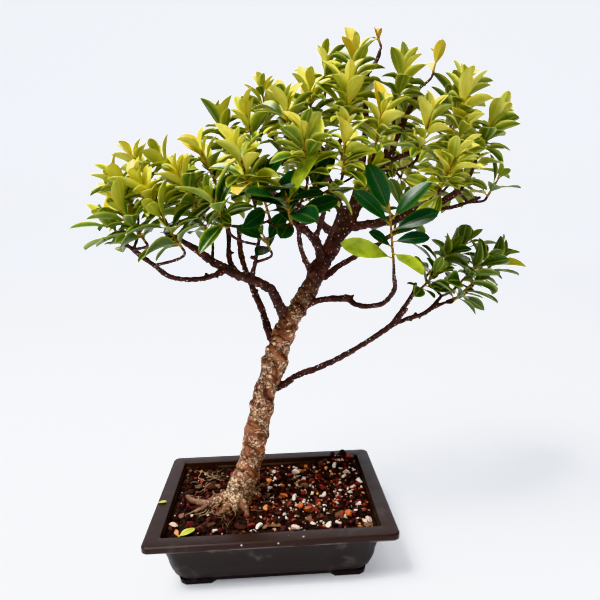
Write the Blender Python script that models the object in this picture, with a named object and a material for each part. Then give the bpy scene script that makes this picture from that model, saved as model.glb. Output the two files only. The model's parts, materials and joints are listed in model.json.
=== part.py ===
"""Tiger bark ficus bonsai growing in a shallow rectangular training pot.

Metres, +Z up, standing on Z = 0. Routes are written in millimetres from the
middle of the pot's underside, X to the right, Y to the back.
"""

import math
import random

import bmesh
import bpy
from mathutils import Vector, noise
from mathutils.bvhtree import BVHTree

MM = 0.001
CLEARANCE = 0.3 * MM
HOLE_SWELL = 0.48 * MM

# The pot stands off the middle of the whole, because the crown leans to the right.
POT_AT = Vector((-55, 0, 0)) * MM

# Pot: outside of the rim, height, and the rim's flat top.
POT_LENGTH = 254 * MM
POT_WIDTH = 184 * MM
POT_HEIGHT = 64 * MM
RIM_WIDTH = 16 * MM
RIM_LIP = 7.5 * MM
POT_WALL = 3 * MM
CORNER_STEPS = 3
DRAIN_RADIUS = 9 * MM
DRAIN_SIDES = 12
DRAIN_OFFSET = 52 * MM
FOOT_HEIGHT = 4 * MM
FOOT_INSET = 28.5 * MM
FOOT_DRAFT = 1.5 * MM
FOOT_MIDDLE = (16 * MM, 12 * MM)
BOWL_FLOOR = 8.5 * MM

# The bowl's outer wall: height, how far it stands inside the rim's edge, and its corner radius.
BOWL = [(9, 26, 15), (13, 22.8, 17), (20, 20.4, 17), (33, 18.4, 15), (44, 16, 13), (56.5, 13, 10)]

# A foot's plan: along the pot's length and across it, from the foot's outer corner.
FOOT_PLAN = [
    (1, 7), (8, 0), (34, 0), (39, 5), (46, 8), (42, 14), (28, 15), (17, 21), (13, 34), (4, 30),
]

# Soil: level below the rim, the heap at the back right, and the size of its lumps.
SOIL_LEVEL = 57 * MM
SOIL_HEAP = 12 * MM
SOIL_HEAP_AT = Vector((90 * MM, 62 * MM))
SOIL_HEAP_REACH = 22 * MM
SOIL_MOUND = 4 * MM
SOIL_LUMPS = 1.8 * MM
SOIL_EDGE = 1.8 * MM
SOIL_CORNER_CUT = 1.6 * MM
SOIL_CORNER_ROUND = 4.5 * MM
SOIL_CELLS_X = 16
SOIL_CELLS_Y = 10

# Wood: sides of each size of tube, how finely its route is divided, and how twigs grow.
TRUNK_SIDES = 10
ROOT_SIDES = 5
BRANCH_SIDES = 5
TWIG_SIDES = 3
TWIG_STEPS = 2
TWIG_STRAIGHT = 3 * MM
TWIG_SLOPE = 0.45
TWIG_LEAST = 14 * MM
TWIG_RADIUS = 1.35 * MM
TWIG_FOOT_RADIUS = 1.9 * MM

# Leaves: blade thickness and how far a leaf keeps from everything else.
BLADE = 0.7 * MM
LEAF_MARGIN = 1.3 * MM
GOLDEN_ANGLE = math.radians(137.5)
LEAF_TRIES = 10

# Trunk, from the bottom of its hole in the soil up to where the leaders part.
TRUNK = [
    (-39, -13, 30, 12), (-39, -13, 50, 17), (-38, -13, 60, 16.5), (-33, -13, 80, 14),
    (-21, -12, 109, 12.9), (-13, -10, 141, 13.4), (-5, -8, 178, 12.4), (2, -7, 200, 12.9),
    (7, -7, 214, 13.8), (13, -6, 233, 12.2), (20, -5, 250, 12.2), (28, -4, 268, 11.2),
    (38, -3, 283, 9.8), (51, -2, 303, 9.2), (60, -1, 321, 9.4), (70, 0, 338, 8.6),
    (83, 2, 357, 8.8), (98, 5, 379, 7.6),
]

# Surface roots: each runs out of the trunk's foot and dips into the soil.
ROOTS = {
    "left": [
        (-41, -14, 72, 7), (-54, -15, 66, 5.4), (-64, -15, 62, 4.4), (-76, -13, 60, 3.6),
        (-90, -6, 60.5, 3), (-97, 2, 61.5, 2.2),
    ],
    "left_fork": [(-66, -15, 60.5, 3.2), (-80, -24, 58.5, 2.6), (-94, -32, 57.5, 1.6)],
    "front": [(-35, -20, 72, 6.5), (-30, -29, 65, 5.2), (-27, -38, 59, 3.8), (-25, -50, 55.5, 2.2)],
    "front_left": [(-42, -21, 67, 6.5), (-51, -29, 61, 4.4), (-58, -36, 58, 3), (-66, -44, 55.5, 1.8)],
    "right": [(-27, -9, 68, 6), (-18, -5, 61.5, 5), (-8, -1, 57.5, 3.8), (4, 2, 55.5, 2)],
    "back": [(-38, -3, 66, 6.5), (-43, 10, 59.5, 4.4), (-52, 26, 55.5, 2)],
}

# Main branches, each from a point inside the trunk or inside another branch.
BRANCHES = {
    "left_low": [
        (22, -6, 268, 6.5), (14, -12, 285, 5.6), (7, -16, 300, 5.2), (-7, -18, 309, 5),
        (-26, -20, 316, 4.9), (-51, -22, 331, 4.4), (-72, -26, 348, 3.4), (-95, -30, 361, 2.4),
    ],
    "left_inner": [
        (5, -4, 244, 4.4), (-4, 8, 274, 3.8), (-13, 16, 296, 3.5), (-20, 24, 315, 3.4),
        (-26, 32, 336, 3.2), (-27, 40, 364, 2.6),
    ],
    "left_upright": [(-26, -20, 316, 3.6), (-35, -10, 331, 3), (-36, 2, 358, 2.6), (-40, 8, 392, 2)],
    "left_twiggy": [(-13, -19, 312, 3), (-8, -32, 330, 2.2), (-4, -42, 348, 1.8), (-2, -50, 368, 1.5)],
    "left_far": [
        (-38, -21, 323, 3.4), (-52, -30, 317, 2.7), (-68, -35, 315, 2.5), (-90, -42, 319, 2.6),
        (-104, -46, 331, 2.2), (-121, -50, 347, 2), (-139, -50, 358, 1.7),
    ],
    "right_low": [
        (2, -8, 188, 4.6), (18, -14, 196, 3.8), (32, -22, 208, 3.5), (66, -30, 223, 3.2),
        (101, -34, 243, 2.9), (135, -36, 266, 2.9),
    ],
    "right_low_up": [(128, -36, 261, 2.6), (149, -38, 292, 2.3), (152, -40, 306, 1.9)],
    "right_low_fork": [(136, -36, 268, 2), (140, -41, 275, 1.8), (143, -45, 281, 1.6)],
    "right_low_end": [
        (128, -36, 262, 2.7), (148, -33, 268, 2.4), (168, -28, 273, 2.2), (186, -20, 288, 1.8),
    ],
    "right_low_far": [(166, -29, 273, 2.1), (190, -20, 281, 1.8), (212, -12, 286, 1.6)],
    "right_bow": [
        (44, -3, 280, 4.2), (61, -14, 287, 3.3), (85, -28, 290, 4.1), (90, -34, 286, 3),
        (103, -44, 284, 2.6), (117, -54, 289, 2.6), (124, -68, 304, 2.4), (121, -78, 317, 2.2),
    ],
    "right_back": [
        (63, 0, 308, 4), (80, 8, 319, 3.4), (102, 22, 329, 3.1), (131, 42, 340, 2.8),
        (160, 62, 356, 2.2),
    ],
    "middle_left": [(52, -2, 312, 3.8), (44, -14, 328, 2.9), (38, -25, 344, 2.7), (35, -40, 366, 2)],
    "middle": [(62, -2, 328, 5.4), (53, -20, 350, 4.6), (37, -34, 364, 3.4), (24, -48, 377, 2.2)],
    "middle_up": [(53, -20, 350, 3.2), (58, -34, 367, 2.6), (63, -44, 387, 2)],
    "middle_right": [(66, -2, 342, 3.2), (73, -16, 362, 2.4), (79, -28, 382, 1.8)],
    "right_high": [
        (86, 3, 362, 5.4), (104, -1, 363, 5), (130, -5, 367, 4.8), (162, -12, 377, 4.4),
        (194, -18, 391, 3.6), (212, -20, 410, 2.6),
    ],
    "right_high_low": [
        (170, -14, 380, 2.8), (186, -28, 379, 2.1), (203, -40, 384, 1.8), (214, -45, 389, 1.5),
    ],
    "leader": [
        (92, 4, 371, 6.6), (117, 6, 408, 5.6), (138, 4, 446, 4.6), (155, 1, 480, 3),
        (164, 0, 500, 2.2),
    ],
    "leader_right": [
        (126, 6, 424, 3.4), (148, -4, 434, 2.6), (172, -14, 440, 2.2), (196, -18, 446, 1.8),
    ],
    "leader_top": [
        (96, 4, 376, 5.6), (106, 12, 420, 4.4), (112, 14, 468, 3.2), (111, 11, 510, 2.5),
        (121, 8, 527, 2.3), (125, 6, 538, 2.2),
    ],
    "leader_left": [
        (88, 3, 366, 5.2), (77, 14, 398, 4.4), (63, 24, 438, 3.4), (60, 22, 474, 2.4),
        (62, 21, 486, 2),
    ],
    "back_left": [(76, 2, 352, 4.6), (52, 28, 378, 3.6), (20, 54, 398, 2.8), (-14, 74, 410, 2)],
    "back_right": [(100, 6, 384, 4.4), (124, 34, 402, 3.4), (146, 68, 416, 2.6), (164, 92, 424, 2)],
}

# Leafy shoots: the middle of each one's tuft, its leaves, their length, and its kind.
SHOOTS = {
    "far_left_tip": ((-139, -49, 368), 8, 35, "mature"),
    "far_left_top": ((-140, -14, 390), 8, 35, "young"),
    "far_left_front": ((-117, -72, 373), 8, 37, "mature"),
    "left_crest": ((-122, 2, 426), 9, 38, "young"),
    "left_edge": ((-131, -42, 404), 8, 35, "young"),
    "left_shoulder": ((-102, -58, 397), 9, 38, "young"),
    "left_front": ((-84, -78, 369), 9, 40, "mature"),
    "left_peak": ((-90, -20, 422), 9, 41, "young"),
    "left_mid": ((-68, -62, 404), 9, 38, "young"),
    "left_under": ((-66, -4, 376), 8, 38, "mature"),
    "left_inner": ((-48, -52, 424), 9, 40, "young"),
    "left_low_front": ((-38, -84, 384), 8, 40, "mature"),
    "centre_left_peak": ((-37, -6, 462), 9, 40, "young"),
    "centre_left_front": ((-14, -86, 420), 9, 40, "young"),
    "centre_left": ((-8, -44, 456), 9, 38, "young"),
    "centre_left_top": ((6, 16, 490), 9, 38, "young"),
    "centre_front": ((26, -64, 462), 9, 38, "young"),
    "under_left_dark": ((2, -76, 396), 8, 40, "dark"),
    "under_middle_dark": ((24, -95, 384), 8, 42, "dark"),
    "under_right_dark": ((50, -68, 396), 8, 38, "dark"),
    "twiggy_tip": ((4, -58, 352), 4, 26, "dark"),
    "top_left": ((70, 18, 522), 9, 37, "young"),
    "top_left_front": ((94, -22, 516), 9, 37, "young"),
    "top_middle_front": ((82, -54, 480), 9, 38, "young"),
    "mid_left_top": ((50, -34, 480), 9, 38, "young"),
    "mid_left_front": ((40, -96, 432), 9, 38, "young"),
    "mid_front": ((74, -92, 434), 9, 38, "young"),
    "mid_right_front": ((108, -74, 454), 9, 38, "young"),
    "mid_right_low": ((98, -70, 414), 8, 36, "young"),
    "top_middle": ((140, -22, 504), 9, 40, "young"),
    "top_bud": ((122, 5, 552), 4, 13, "young"),
    "top_right_leaf": ((180, 2, 520), 2, 28, "young"),
    "top_right": ((210, 8, 494), 9, 42, "young"),
    "right_peak": ((194, -40, 474), 9, 40, "young"),
    "far_right": ((230, -24, 457), 9, 40, "young"),
    "right_front": ((150, -76, 450), 9, 37, "young"),
    "right_mid": ((184, -62, 444), 9, 37, "young"),
    "right_front_low": ((170, -84, 416), 8, 35, "young"),
    "right_inner": ((212, -6, 416), 8, 36, "young"),
    "far_right_low": ((225, -47, 398), 4, 29, "mature"),
    "bow_dark": ((115, -88, 368), 9, 45, "dark"),
    "low_right_upper": ((187, -20, 330), 9, 34, "mature"),
    "low_right_front": ((208, -50, 320), 9, 32, "mature"),
    "low_right_far": ((244, -8, 318), 9, 34, "mature"),
    "low_right_back": ((222, 24, 332), 9, 34, "mature"),
    "low_right_inner": ((163, -56, 312), 7, 30, "mature"),
    "low_right_under": ((208, -34, 298), 7, 30, "mature"),
    "back_left": ((-24, 86, 430), 9, 40, "young"),
    "back_left_low": ((-78, 46, 398), 9, 40, "mature"),
    "back_middle": ((44, 92, 448), 9, 40, "young"),
    "back_top": ((98, 62, 492), 9, 40, "young"),
    "back_right": ((178, 99, 441), 9, 40, "young"),
    "back_right_low": ((168, 78, 380), 9, 38, "mature"),
    "back_right_top": ((160, 48, 482), 9, 40, "young"),
    "back_far_right": ((214, 50, 430), 9, 38, "young"),
}

# Shoots that the photo shows leaf by leaf: how the stem grows and its gap from leaf to leaf, then for
# each leaf, from the lowest up, where its tip lies from its root and which way its upper side faces.
POSED = {
    "bow_dark": {
        "axis": Vector((-5.4, -6, 46.6)).normalized(),
        "step": 5 * MM,
        "leaves": [
            ((-54, -11, 14), (0.10, -0.75, 0.65)),
            ((19, -26, -18), (0.25, -0.65, 0.70)),
            ((-22, -6, 13), (0.00, -0.50, 0.85)),
            ((32, -10, 2), (0.00, -0.50, 0.85)),
            ((39, 11, 10), (-0.10, -0.40, 0.90)),
            ((41, -12, 14), (-0.20, -0.60, 0.75)),
            ((-35, -11, 27), (0.50, -0.60, 0.60)),
            ((35, -10, 29), (-0.45, -0.55, 0.70)),
            ((-15, -3, 44), (0.15, -0.95, 0.25)),
        ],
    },
    "top_bud": {
        "axis": Vector((-3.6, -0.5, 9.3)).normalized(),
        "step": 2.4 * MM,
        "leaves": [
            ((-8, 1, 9), (0.80, 0.00, 0.60)),
            ((1, -4, 12), (-0.30, 0.90, 0.30)),
            ((2, 3, 11), (-0.60, -0.80, 0.30)),
            ((-5, -1, 12), (0.90, 0.30, 0.30)),
        ],
    },
}

# How the leaves of each kind stand: lift from the stem at its foot and at its tip,
# half-width and fold as shares, how far the tip curls back, and the pull of gravity.
KINDS = {
    "young": {"low": 74, "high": 16, "width": 0.200, "fold": 0.36, "curl": 0.20, "sag": 0.00},
    "mature": {"low": 86, "high": 24, "width": 0.205, "fold": 0.26, "curl": 0.22, "sag": 0.06},
    "dark": {"low": 90, "high": 24, "width": 0.200, "fold": 0.22, "curl": 0.22, "sag": 0.08},
}
INTERNODE = 3.4 * MM
BUD_LENGTH = 5 * MM
CROWN_HEART = Vector((62, 4, 318)) * MM

# A leaf's outline from base to tip and back, as shares of its length and of its half-width.
LEAF_OUTLINE = ((0.36, 0.88), (0.68, 0.96), (1.0, 0.0), (0.68, -0.96), (0.36, -0.88))

# Leaves that have dropped: one on the soil at the front left, a scrap on the left rim.
FALLEN_LEAF_AT = Vector((-87, -62, 0)) * MM
FALLEN_LEAF_LENGTH = 26 * MM
FALLEN_LEAF_TURN = math.radians(42)
SCRAP_AT = Vector((-121, -14, 0)) * MM
SCRAP_LENGTH = 9 * MM
SCRAP_TURN = math.radians(8)


def start_clean():
    """Removes whatever the scene holds."""
    for old in list(bpy.data.objects):
        bpy.data.objects.remove(old, do_unlink=True)


def make_material(name, colour, roughness, metallic=0.0):
    material = bpy.data.materials.new(name)
    material.use_nodes = True
    surface = material.node_tree.nodes["Principled BSDF"]
    surface.inputs["Base Color"].default_value = (*colour, 1.0)
    surface.inputs["Roughness"].default_value = roughness
    surface.inputs["Metallic"].default_value = metallic
    material.diffuse_color = (*colour, 1.0)
    return material


def object_of(name, verts, faces, material, smooth=False):
    """One object from plain lists, facing out, with its place in its location."""
    mesh = bpy.data.meshes.new(name)
    mesh.from_pydata([tuple(v) for v in verts], [], faces)
    bm = bmesh.new()
    bm.from_mesh(mesh)
    bmesh.ops.recalc_face_normals(bm, faces=bm.faces)
    bm.to_mesh(mesh)
    bm.free()
    if smooth:
        mesh.shade_smooth()
        mesh.set_sharp_from_angle(angle=math.radians(35))
    mesh.materials.append(material)
    obj = bpy.data.objects.new(name, mesh)
    obj.location = POT_AT
    bpy.context.scene.collection.objects.link(obj)
    return obj


def apply_modifiers(obj):
    """Replaces the object's mesh by what its modifiers make of it."""
    depsgraph = bpy.context.evaluated_depsgraph_get()
    made = bpy.data.meshes.new_from_object(obj.evaluated_get(depsgraph))
    obj.modifiers.clear()
    obj.data = made


def keep_largest_body(obj):
    """Drops any loose scrap that a union has left beside the main body."""
    bm = bmesh.new()
    bm.from_mesh(obj.data)
    unseen = set(bm.faces)
    bodies = []
    while unseen:
        body = []
        waiting = [unseen.pop()]
        while waiting:
            face = waiting.pop()
            body.append(face)
            for edge in face.edges:
                for other in edge.link_faces:
                    if other in unseen:
                        unseen.discard(other)
                        waiting.append(other)
        bodies.append(body)
    bodies.sort(key=len)
    for body in bodies[:-1]:
        bmesh.ops.delete(bm, geom=body, context="FACES")
    bm.to_mesh(obj.data)
    bm.free()


def join_all(base, others, operation="UNION", solver="EXACT"):
    """Joins the other objects to the base by one Boolean on a collection, or cuts them from it."""
    group = bpy.data.collections.new(base.name + "_parts")
    bpy.context.scene.collection.children.link(group)
    for other in others:
        bpy.context.scene.collection.objects.unlink(other)
        group.objects.link(other)
    joining = base.modifiers.new("join", "BOOLEAN")
    joining.operation = operation
    joining.operand_type = "COLLECTION"
    joining.collection = group
    joining.solver = solver
    apply_modifiers(base)
    for other in others:
        bpy.data.objects.remove(other, do_unlink=True)
    bpy.data.collections.remove(group)
    keep_largest_body(base)
    return base


def outline(inset, corner, z):
    """A rounded rectangle, this far inside the rim's outer edge."""
    half_x = POT_LENGTH / 2 - inset - corner
    half_y = POT_WIDTH / 2 - inset - corner
    points = []
    for quarter, (side_x, side_y) in enumerate(((1, 1), (-1, 1), (-1, -1), (1, -1))):
        for step in range(CORNER_STEPS + 1):
            angle = math.pi / 2 * (quarter + step / CORNER_STEPS)
            points.append(
                Vector((
                    side_x * half_x + corner * math.cos(angle),
                    side_y * half_y + corner * math.sin(angle),
                    z,
                ))
            )
    return points


def loft(rings):
    """Points and faces of a closed form through rings of equal length, capped at both ends."""
    count = len(rings[0])
    verts = [point for ring in rings for point in ring]
    faces = [tuple(range(count)), tuple(range((len(rings) - 1) * count, len(rings) * count))]
    for level in range(len(rings) - 1):
        for i in range(count):
            j = (i + 1) % count
            low, high = level * count, (level + 1) * count
            faces.append((low + i, low + j, high + j, high + i))
    return verts, faces


def pot_wall_at(z):
    """How far the bowl's outer wall stands inside the rim's edge at a height."""
    height = z / MM
    for (z0, inset0, _), (z1, inset1, _) in zip(BOWL, BOWL[1:]):
        if height <= z1:
            share = max(0.0, (height - z0) / (z1 - z0))
            return (inset0 + (inset1 - inset0) * share) * MM
    return BOWL[-1][1] * MM


def build_pot(material):
    """The moulded pot: bowl, plinth and wide rim in one, on four low corner feet, with two drain holes."""
    lip_bottom = POT_HEIGHT - RIM_LIP
    edge = 1.2 * MM
    rings = [
        outline(28 * MM, 14 * MM, FOOT_HEIGHT),
        outline(27.5 * MM, 14 * MM, 8 * MM),
    ]
    for z, inset, corner in BOWL:
        rings.append(outline(inset * MM, corner * MM, z * MM))
    rings.append(outline(edge, 6.5 * MM, lip_bottom))
    rings.append(outline(0, 7 * MM, lip_bottom + edge))
    rings.append(outline(0, 7 * MM, POT_HEIGHT - edge))
    rings.append(outline(edge, 6.5 * MM, POT_HEIGHT))
    rings.append(outline(RIM_WIDTH - 0.8 * MM, 3 * MM, POT_HEIGHT))
    rings.append(outline(RIM_WIDTH, 2.6 * MM, POT_HEIGHT - 0.8 * MM))
    rings.append(outline(RIM_WIDTH + 0.6 * MM, 3 * MM, lip_bottom))
    for z, corner in ((44, 8), (33, 11), (20, 13), (13, 13)):
        rings.append(outline(pot_wall_at(z * MM) + POT_WALL, corner * MM, z * MM))
    rings.append(outline(31 * MM, 11 * MM, BOWL_FLOOR))
    pot = object_of("pot", *loft(rings), material, smooth=True)
    feet = [build_foot(side_x, side_y, material) for side_x in (-1, 1) for side_y in (-1, 1)]
    join_all(pot, feet)
    drains = []
    for side in (-1, 1):
        middle = Vector((side * DRAIN_OFFSET, 0, 0))
        low = []
        for step in range(DRAIN_SIDES):
            angle = math.tau * (step + 0.5) / DRAIN_SIDES
            low.append(middle + DRAIN_RADIUS * Vector((math.cos(angle), math.sin(angle), 0)))
        high = [point + Vector((0, 0, 2 * BOWL_FLOOR)) for point in low]
        drains.append(object_of("drain", *loft([low, high]), material))
    join_all(pot, drains, "DIFFERENCE")
    pot.data.shade_smooth()
    pot.data.set_sharp_from_angle(angle=math.radians(35))
    return pot


def build_foot(side_x, side_y, material):
    """A low corner foot, wider at the pot than at the ground, with a notched, cloud-like inner edge."""
    outer_x = POT_LENGTH / 2 - FOOT_INSET
    outer_y = POT_WIDTH / 2 - FOOT_INSET
    middle_x, middle_y = FOOT_MIDDLE
    rings = []
    for inset, z in ((FOOT_DRAFT, 0.0), (0.0, FOOT_HEIGHT + FOOT_DRAFT)):
        shrink = 1 - inset / (22 * MM)
        ring = []
        for along, across in FOOT_PLAN:
            x = middle_x + (along * MM - middle_x) * shrink
            y = middle_y + (across * MM - middle_y) * shrink
            ring.append(Vector((side_x * (outer_x - x), side_y * (outer_y - y), z)))
        rings.append(ring)
    return object_of("foot", *loft(rings), material)


def soil_height(x, y):
    """Height of the soil: low at the edges, mounded at the trunk, heaped at the back right."""
    edge_x = abs(x) / (POT_LENGTH / 2 - RIM_WIDTH)
    edge_y = abs(y) / (POT_WIDTH / 2 - RIM_WIDTH)
    fall = max(edge_x, edge_y) ** 6
    foot = (Vector((x, y)) - Vector(TRUNK[1][:2]) * MM).length / (42 * MM)
    heap = (Vector((x, y)) - SOIL_HEAP_AT).length / SOIL_HEAP_REACH
    height = SOIL_LEVEL - 2.5 * MM * fall
    height += SOIL_MOUND * math.exp(-foot * foot) * (1 - fall)
    height += SOIL_HEAP * math.exp(-heap * heap)
    return height + SOIL_LUMPS * noise.noise(Vector((x, y, 0.0)) / (7 * MM))


def build_soil(material, cutters):
    """The root ball and grit that fill the pot, lumpy on top, with holes where trunk and roots stand."""
    half_x = POT_LENGTH / 2 - RIM_WIDTH - SOIL_EDGE
    half_y = POT_WIDTH / 2 - RIM_WIDTH - SOIL_EDGE
    verts, faces = [], []
    row = SOIL_CELLS_X + 1
    for j in range(SOIL_CELLS_Y + 1):
        for i in range(row):
            x = half_x * (2 * i / SOIL_CELLS_X - 1)
            y = half_y * (2 * j / SOIL_CELLS_Y - 1)
            if i in (0, SOIL_CELLS_X) and j in (0, SOIL_CELLS_Y):
                x -= math.copysign(SOIL_CORNER_CUT, x)
                y -= math.copysign(SOIL_CORNER_CUT, y)
            verts.append(Vector((x, y, soil_height(x, y))))
    for j in range(SOIL_CELLS_Y):
        for i in range(SOIL_CELLS_X):
            a = j * row + i
            faces.append((a, a + 1, a + row + 1, a + row))
    rim = list(range(row))
    rim += [j * row + SOIL_CELLS_X for j in range(1, SOIL_CELLS_Y + 1)]
    rim += [SOIL_CELLS_Y * row + i for i in range(SOIL_CELLS_X - 1, -1, -1)]
    rim += [j * row for j in range(SOIL_CELLS_Y - 1, 0, -1)]
    last = rim
    corners = (0, SOIL_CELLS_X, row * (SOIL_CELLS_Y + 1) - 1, row * SOIL_CELLS_Y)
    for inset, z in ((9 * MM, 21 * MM), (17 * MM, BOWL_FLOOR + CLEARANCE)):
        first = len(verts)
        for index in rim:
            top = verts[index]
            rounding = SOIL_CORNER_ROUND if index in corners else 0.0
            x = top.x * (half_x - inset) / half_x
            y = top.y * (half_y - inset) / half_y
            verts.append(Vector((x - math.copysign(rounding, x), y - math.copysign(rounding, y), z)))
        ring = list(range(first, first + len(rim)))
        for a, b, c, d in zip(last, last[1:] + last[:1], ring[1:] + ring[:1], ring):
            faces.append((a, b, c, d))
        last = ring
    faces.append(tuple(last))
    soil = object_of("soil", verts, faces, material)
    return join_all(soil, cutters, "DIFFERENCE")


def smooth_route(points, steps):
    """Stations (place, radius) on a smooth curve through a route written in millimetres."""
    stops = [(Vector(p[:3]) * MM, p[3] * MM) for p in points]
    stations = []
    for k in range(len(stops) - 1):
        before = stops[max(k - 1, 0)]
        after = stops[min(k + 2, len(stops) - 1)]
        a, b = stops[k], stops[k + 1]
        for step in range(steps):
            t = step / steps
            slope_a = (b[0] - before[0]) / 2
            slope_b = (after[0] - a[0]) / 2
            place = (
                a[0] * (2 * t**3 - 3 * t**2 + 1)
                + slope_a * (t**3 - 2 * t**2 + t)
                + b[0] * (3 * t**2 - 2 * t**3)
                + slope_b * (t**3 - t**2)
            )
            stations.append((place, a[1] + (b[1] - a[1]) * t))
    stations.append(stops[-1])
    return stations


def tube(stations, sides, swell=0.0):
    """Points and faces of a tube along its stations, with flat ends, its frame carried without twist."""
    count = len(stations)
    ahead = [
        (stations[min(i + 1, count - 1)][0] - stations[max(i - 1, 0)][0]).normalized()
        for i in range(count)
    ]
    across = ahead[0].orthogonal().normalized()
    rings = []
    for i, (place, radius) in enumerate(stations):
        across = (across - ahead[i] * across.dot(ahead[i])).normalized()
        other = ahead[i].cross(across)
        centre = Vector(place)
        if swell and i in (0, count - 1):
            centre += ahead[i] * (swell if i else -swell)
        ring = []
        for s in range(sides):
            angle = math.tau * (s + 0.5) / sides
            ring.append(centre + (across * math.cos(angle) + other * math.sin(angle)) * (radius + swell))
        rings.append(ring)
    return loft(rings)


def trunk_stations():
    """The trunk's route with the low swellings of old bark rings along it."""
    stations = []
    for place, radius in smooth_route(TRUNK, 1):
        ripple = 0.035 * math.sin(place.z / MM * 0.34) + 0.03 * math.sin(place.z / MM * 0.131 + 1.0)
        stations.append((place, radius * (1 + ripple)))
    return stations


def twig_to(tip, axis, stations):
    """A twig that leaves the nearest wood below its tip and arrives along the shoot's axis."""

    def reach(station):
        away = tip - station[0]
        level = math.hypot(away.x, away.y)
        too_flat = max(0.0, TWIG_SLOPE * level - away.z)
        too_short = max(0.0, TWIG_LEAST - away.length)
        return away.length + 1.6 * too_flat + 4 * too_short

    place, radius = min(stations, key=reach)
    span = (tip - place).length
    first = place + (tip - place) * 0.33 + Vector((0, 0, -0.06 * span))
    second = tip - axis * 0.3 * span
    last = tip - axis * TWIG_STRAIGHT
    foot = min(TWIG_FOOT_RADIUS, radius * 0.8)
    made = []
    for step in range(TWIG_STEPS + 1):
        t = step / TWIG_STEPS
        point = (
            place * (1 - t) ** 3
            + first * 3 * t * (1 - t) ** 2
            + second * 3 * t * t * (1 - t)
            + last * t**3
        )
        made.append((point, foot + (TWIG_RADIUS - foot) * t))
    return made + [(tip, TWIG_RADIUS)]


def leaf_step(name):
    """The length of stem from one leaf to the next."""
    return POSED[name]["step"] if name in POSED else INTERNODE


def shoot_line(name):
    """Where a shoot starts and which way it grows: up, and away from the heart of the crown."""
    middle, leaves = Vector(SHOOTS[name][0]) * MM, SHOOTS[name][1]
    away = (middle - CROWN_HEART).normalized()
    axis = (away * 0.75 + Vector((0, 0, 0.85))).normalized()
    if name in POSED:
        axis = POSED[name]["axis"]
    return middle - axis * leaf_step(name) * leaves * 0.8, axis


def stem_rings(name):
    """The shoot's own three-sided stem, turned at each joint by the golden angle, and its bud."""
    start, axis = shoot_line(name)
    across = axis.orthogonal().normalized()
    other = axis.cross(across)
    count = SHOOTS[name][1]
    step = leaf_step(name)
    rings = []
    for level in range(count + 2):
        radius = TWIG_RADIUS * (1 - 0.25 * level / (count + 1))
        centre = start + axis * (CLEARANCE + step * level)
        ring = []
        for corner in range(3):
            angle = math.tau * corner / 3 + (GOLDEN_ANGLE - math.tau / 3) * level
            ring.append(centre + (across * math.cos(angle) + other * math.sin(angle)) * radius)
        rings.append(ring)
    bud = start + axis * (CLEARANCE + step * (count + 1) + BUD_LENGTH)
    return rings, bud


def leaf_plate(seat, along, face, length, kind, blade=BLADE, grow=1.0, trim=0.0):
    """A folded leaf that grows out of one side of its stem: seven outline points above and seven below."""
    side = along.cross(face).normalized()
    half = kind["width"] * length * grow
    lower, upper = seat[:2], seat[2:]
    root = sum(seat, Vector()) / 4
    left_low, right_low = sorted(lower, key=lambda corner: -corner.dot(side))
    left_high, right_high = sorted(upper, key=lambda corner: -corner.dot(side))
    top, bottom = [], []
    for share, width in LEAF_OUTLINE:
        reach = share * length * (1 + (grow - 1) * 0.4)
        rise = kind["fold"] * abs(width) * half - kind["curl"] * share**2 * length
        middle = root + along * reach + side * width * half + face * rise
        top.append(middle + face * blade / 2)
        bottom.append(middle - face * blade / 2)
    inward = along * length * trim
    top = [left_high + inward] + top + [right_high + inward]
    bottom = [left_low + inward] + bottom + [right_low + inward]
    return top + bottom


def leaf_faces():
    """Triangles of the plate, split alike above and below, with a narrow midrib, open at the stem."""
    rim = len(LEAF_OUTLINE) + 2
    faces = []
    for a, b, c in ((0, 1, 3), (1, 2, 3), (3, 4, 5), (3, 5, 6), (0, 3, 6)):
        faces.append((a, b, c))
        faces.append((c + rim, b + rim, a + rim))
    for i in range(rim - 1):
        faces.append((i + 1, i, i + rim))
        faces.append((i + 1, i + rim, i + 1 + rim))
    return faces


LEAF_FACES = leaf_faces()


def seat_at(rings, axis, level, corner):
    """The patch of a stem's side that a leaf can grow from, and the way it looks."""
    low, high = rings[level], rings[level + 1]
    following = (corner + 1) % 3
    seat = (low[corner], low[following], high[following], high[corner])
    outward = sum(seat, Vector()) / 4 - (sum(low, Vector()) + sum(high, Vector())) / 6
    return seat, (outward - axis * outward.dot(axis)).normalized()


def spiral_leaf(draw, kind, share, axis, outward, attempt):
    """Direction and face of a leaf that stands out from its stem, turned further at each attempt."""
    turn = draw.uniform(-0.25, 0.25) * (1 + 0.3 * attempt)
    lift = math.radians(kind["low"] + (kind["high"] - kind["low"]) * share + draw.uniform(-9, 9))
    radial = outward * math.cos(turn) + axis.cross(outward) * math.sin(turn)
    along = axis * math.cos(lift) + radial * math.sin(lift)
    along = (along + Vector((0, 0, -kind["sag"]))).normalized()
    face = axis * math.sin(lift) - radial * math.cos(lift) + Vector((0, 0, 0.25))
    return along, (face - along * face.dot(along)).normalized()


def posed_leaf(draw, kind, tip, facing, attempt):
    """Direction and face of a leaf whose tip the photo gives, turned a little more at each attempt."""
    facing = Vector(facing).normalized()
    stray = 0.05 * attempt
    along = Vector(tip).normalized() + facing * kind["curl"]
    along += Vector([draw.uniform(-stray, stray) for _ in range(3)])
    along.normalize()
    return along, (facing - along * facing.dot(along)).normalized()


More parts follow.
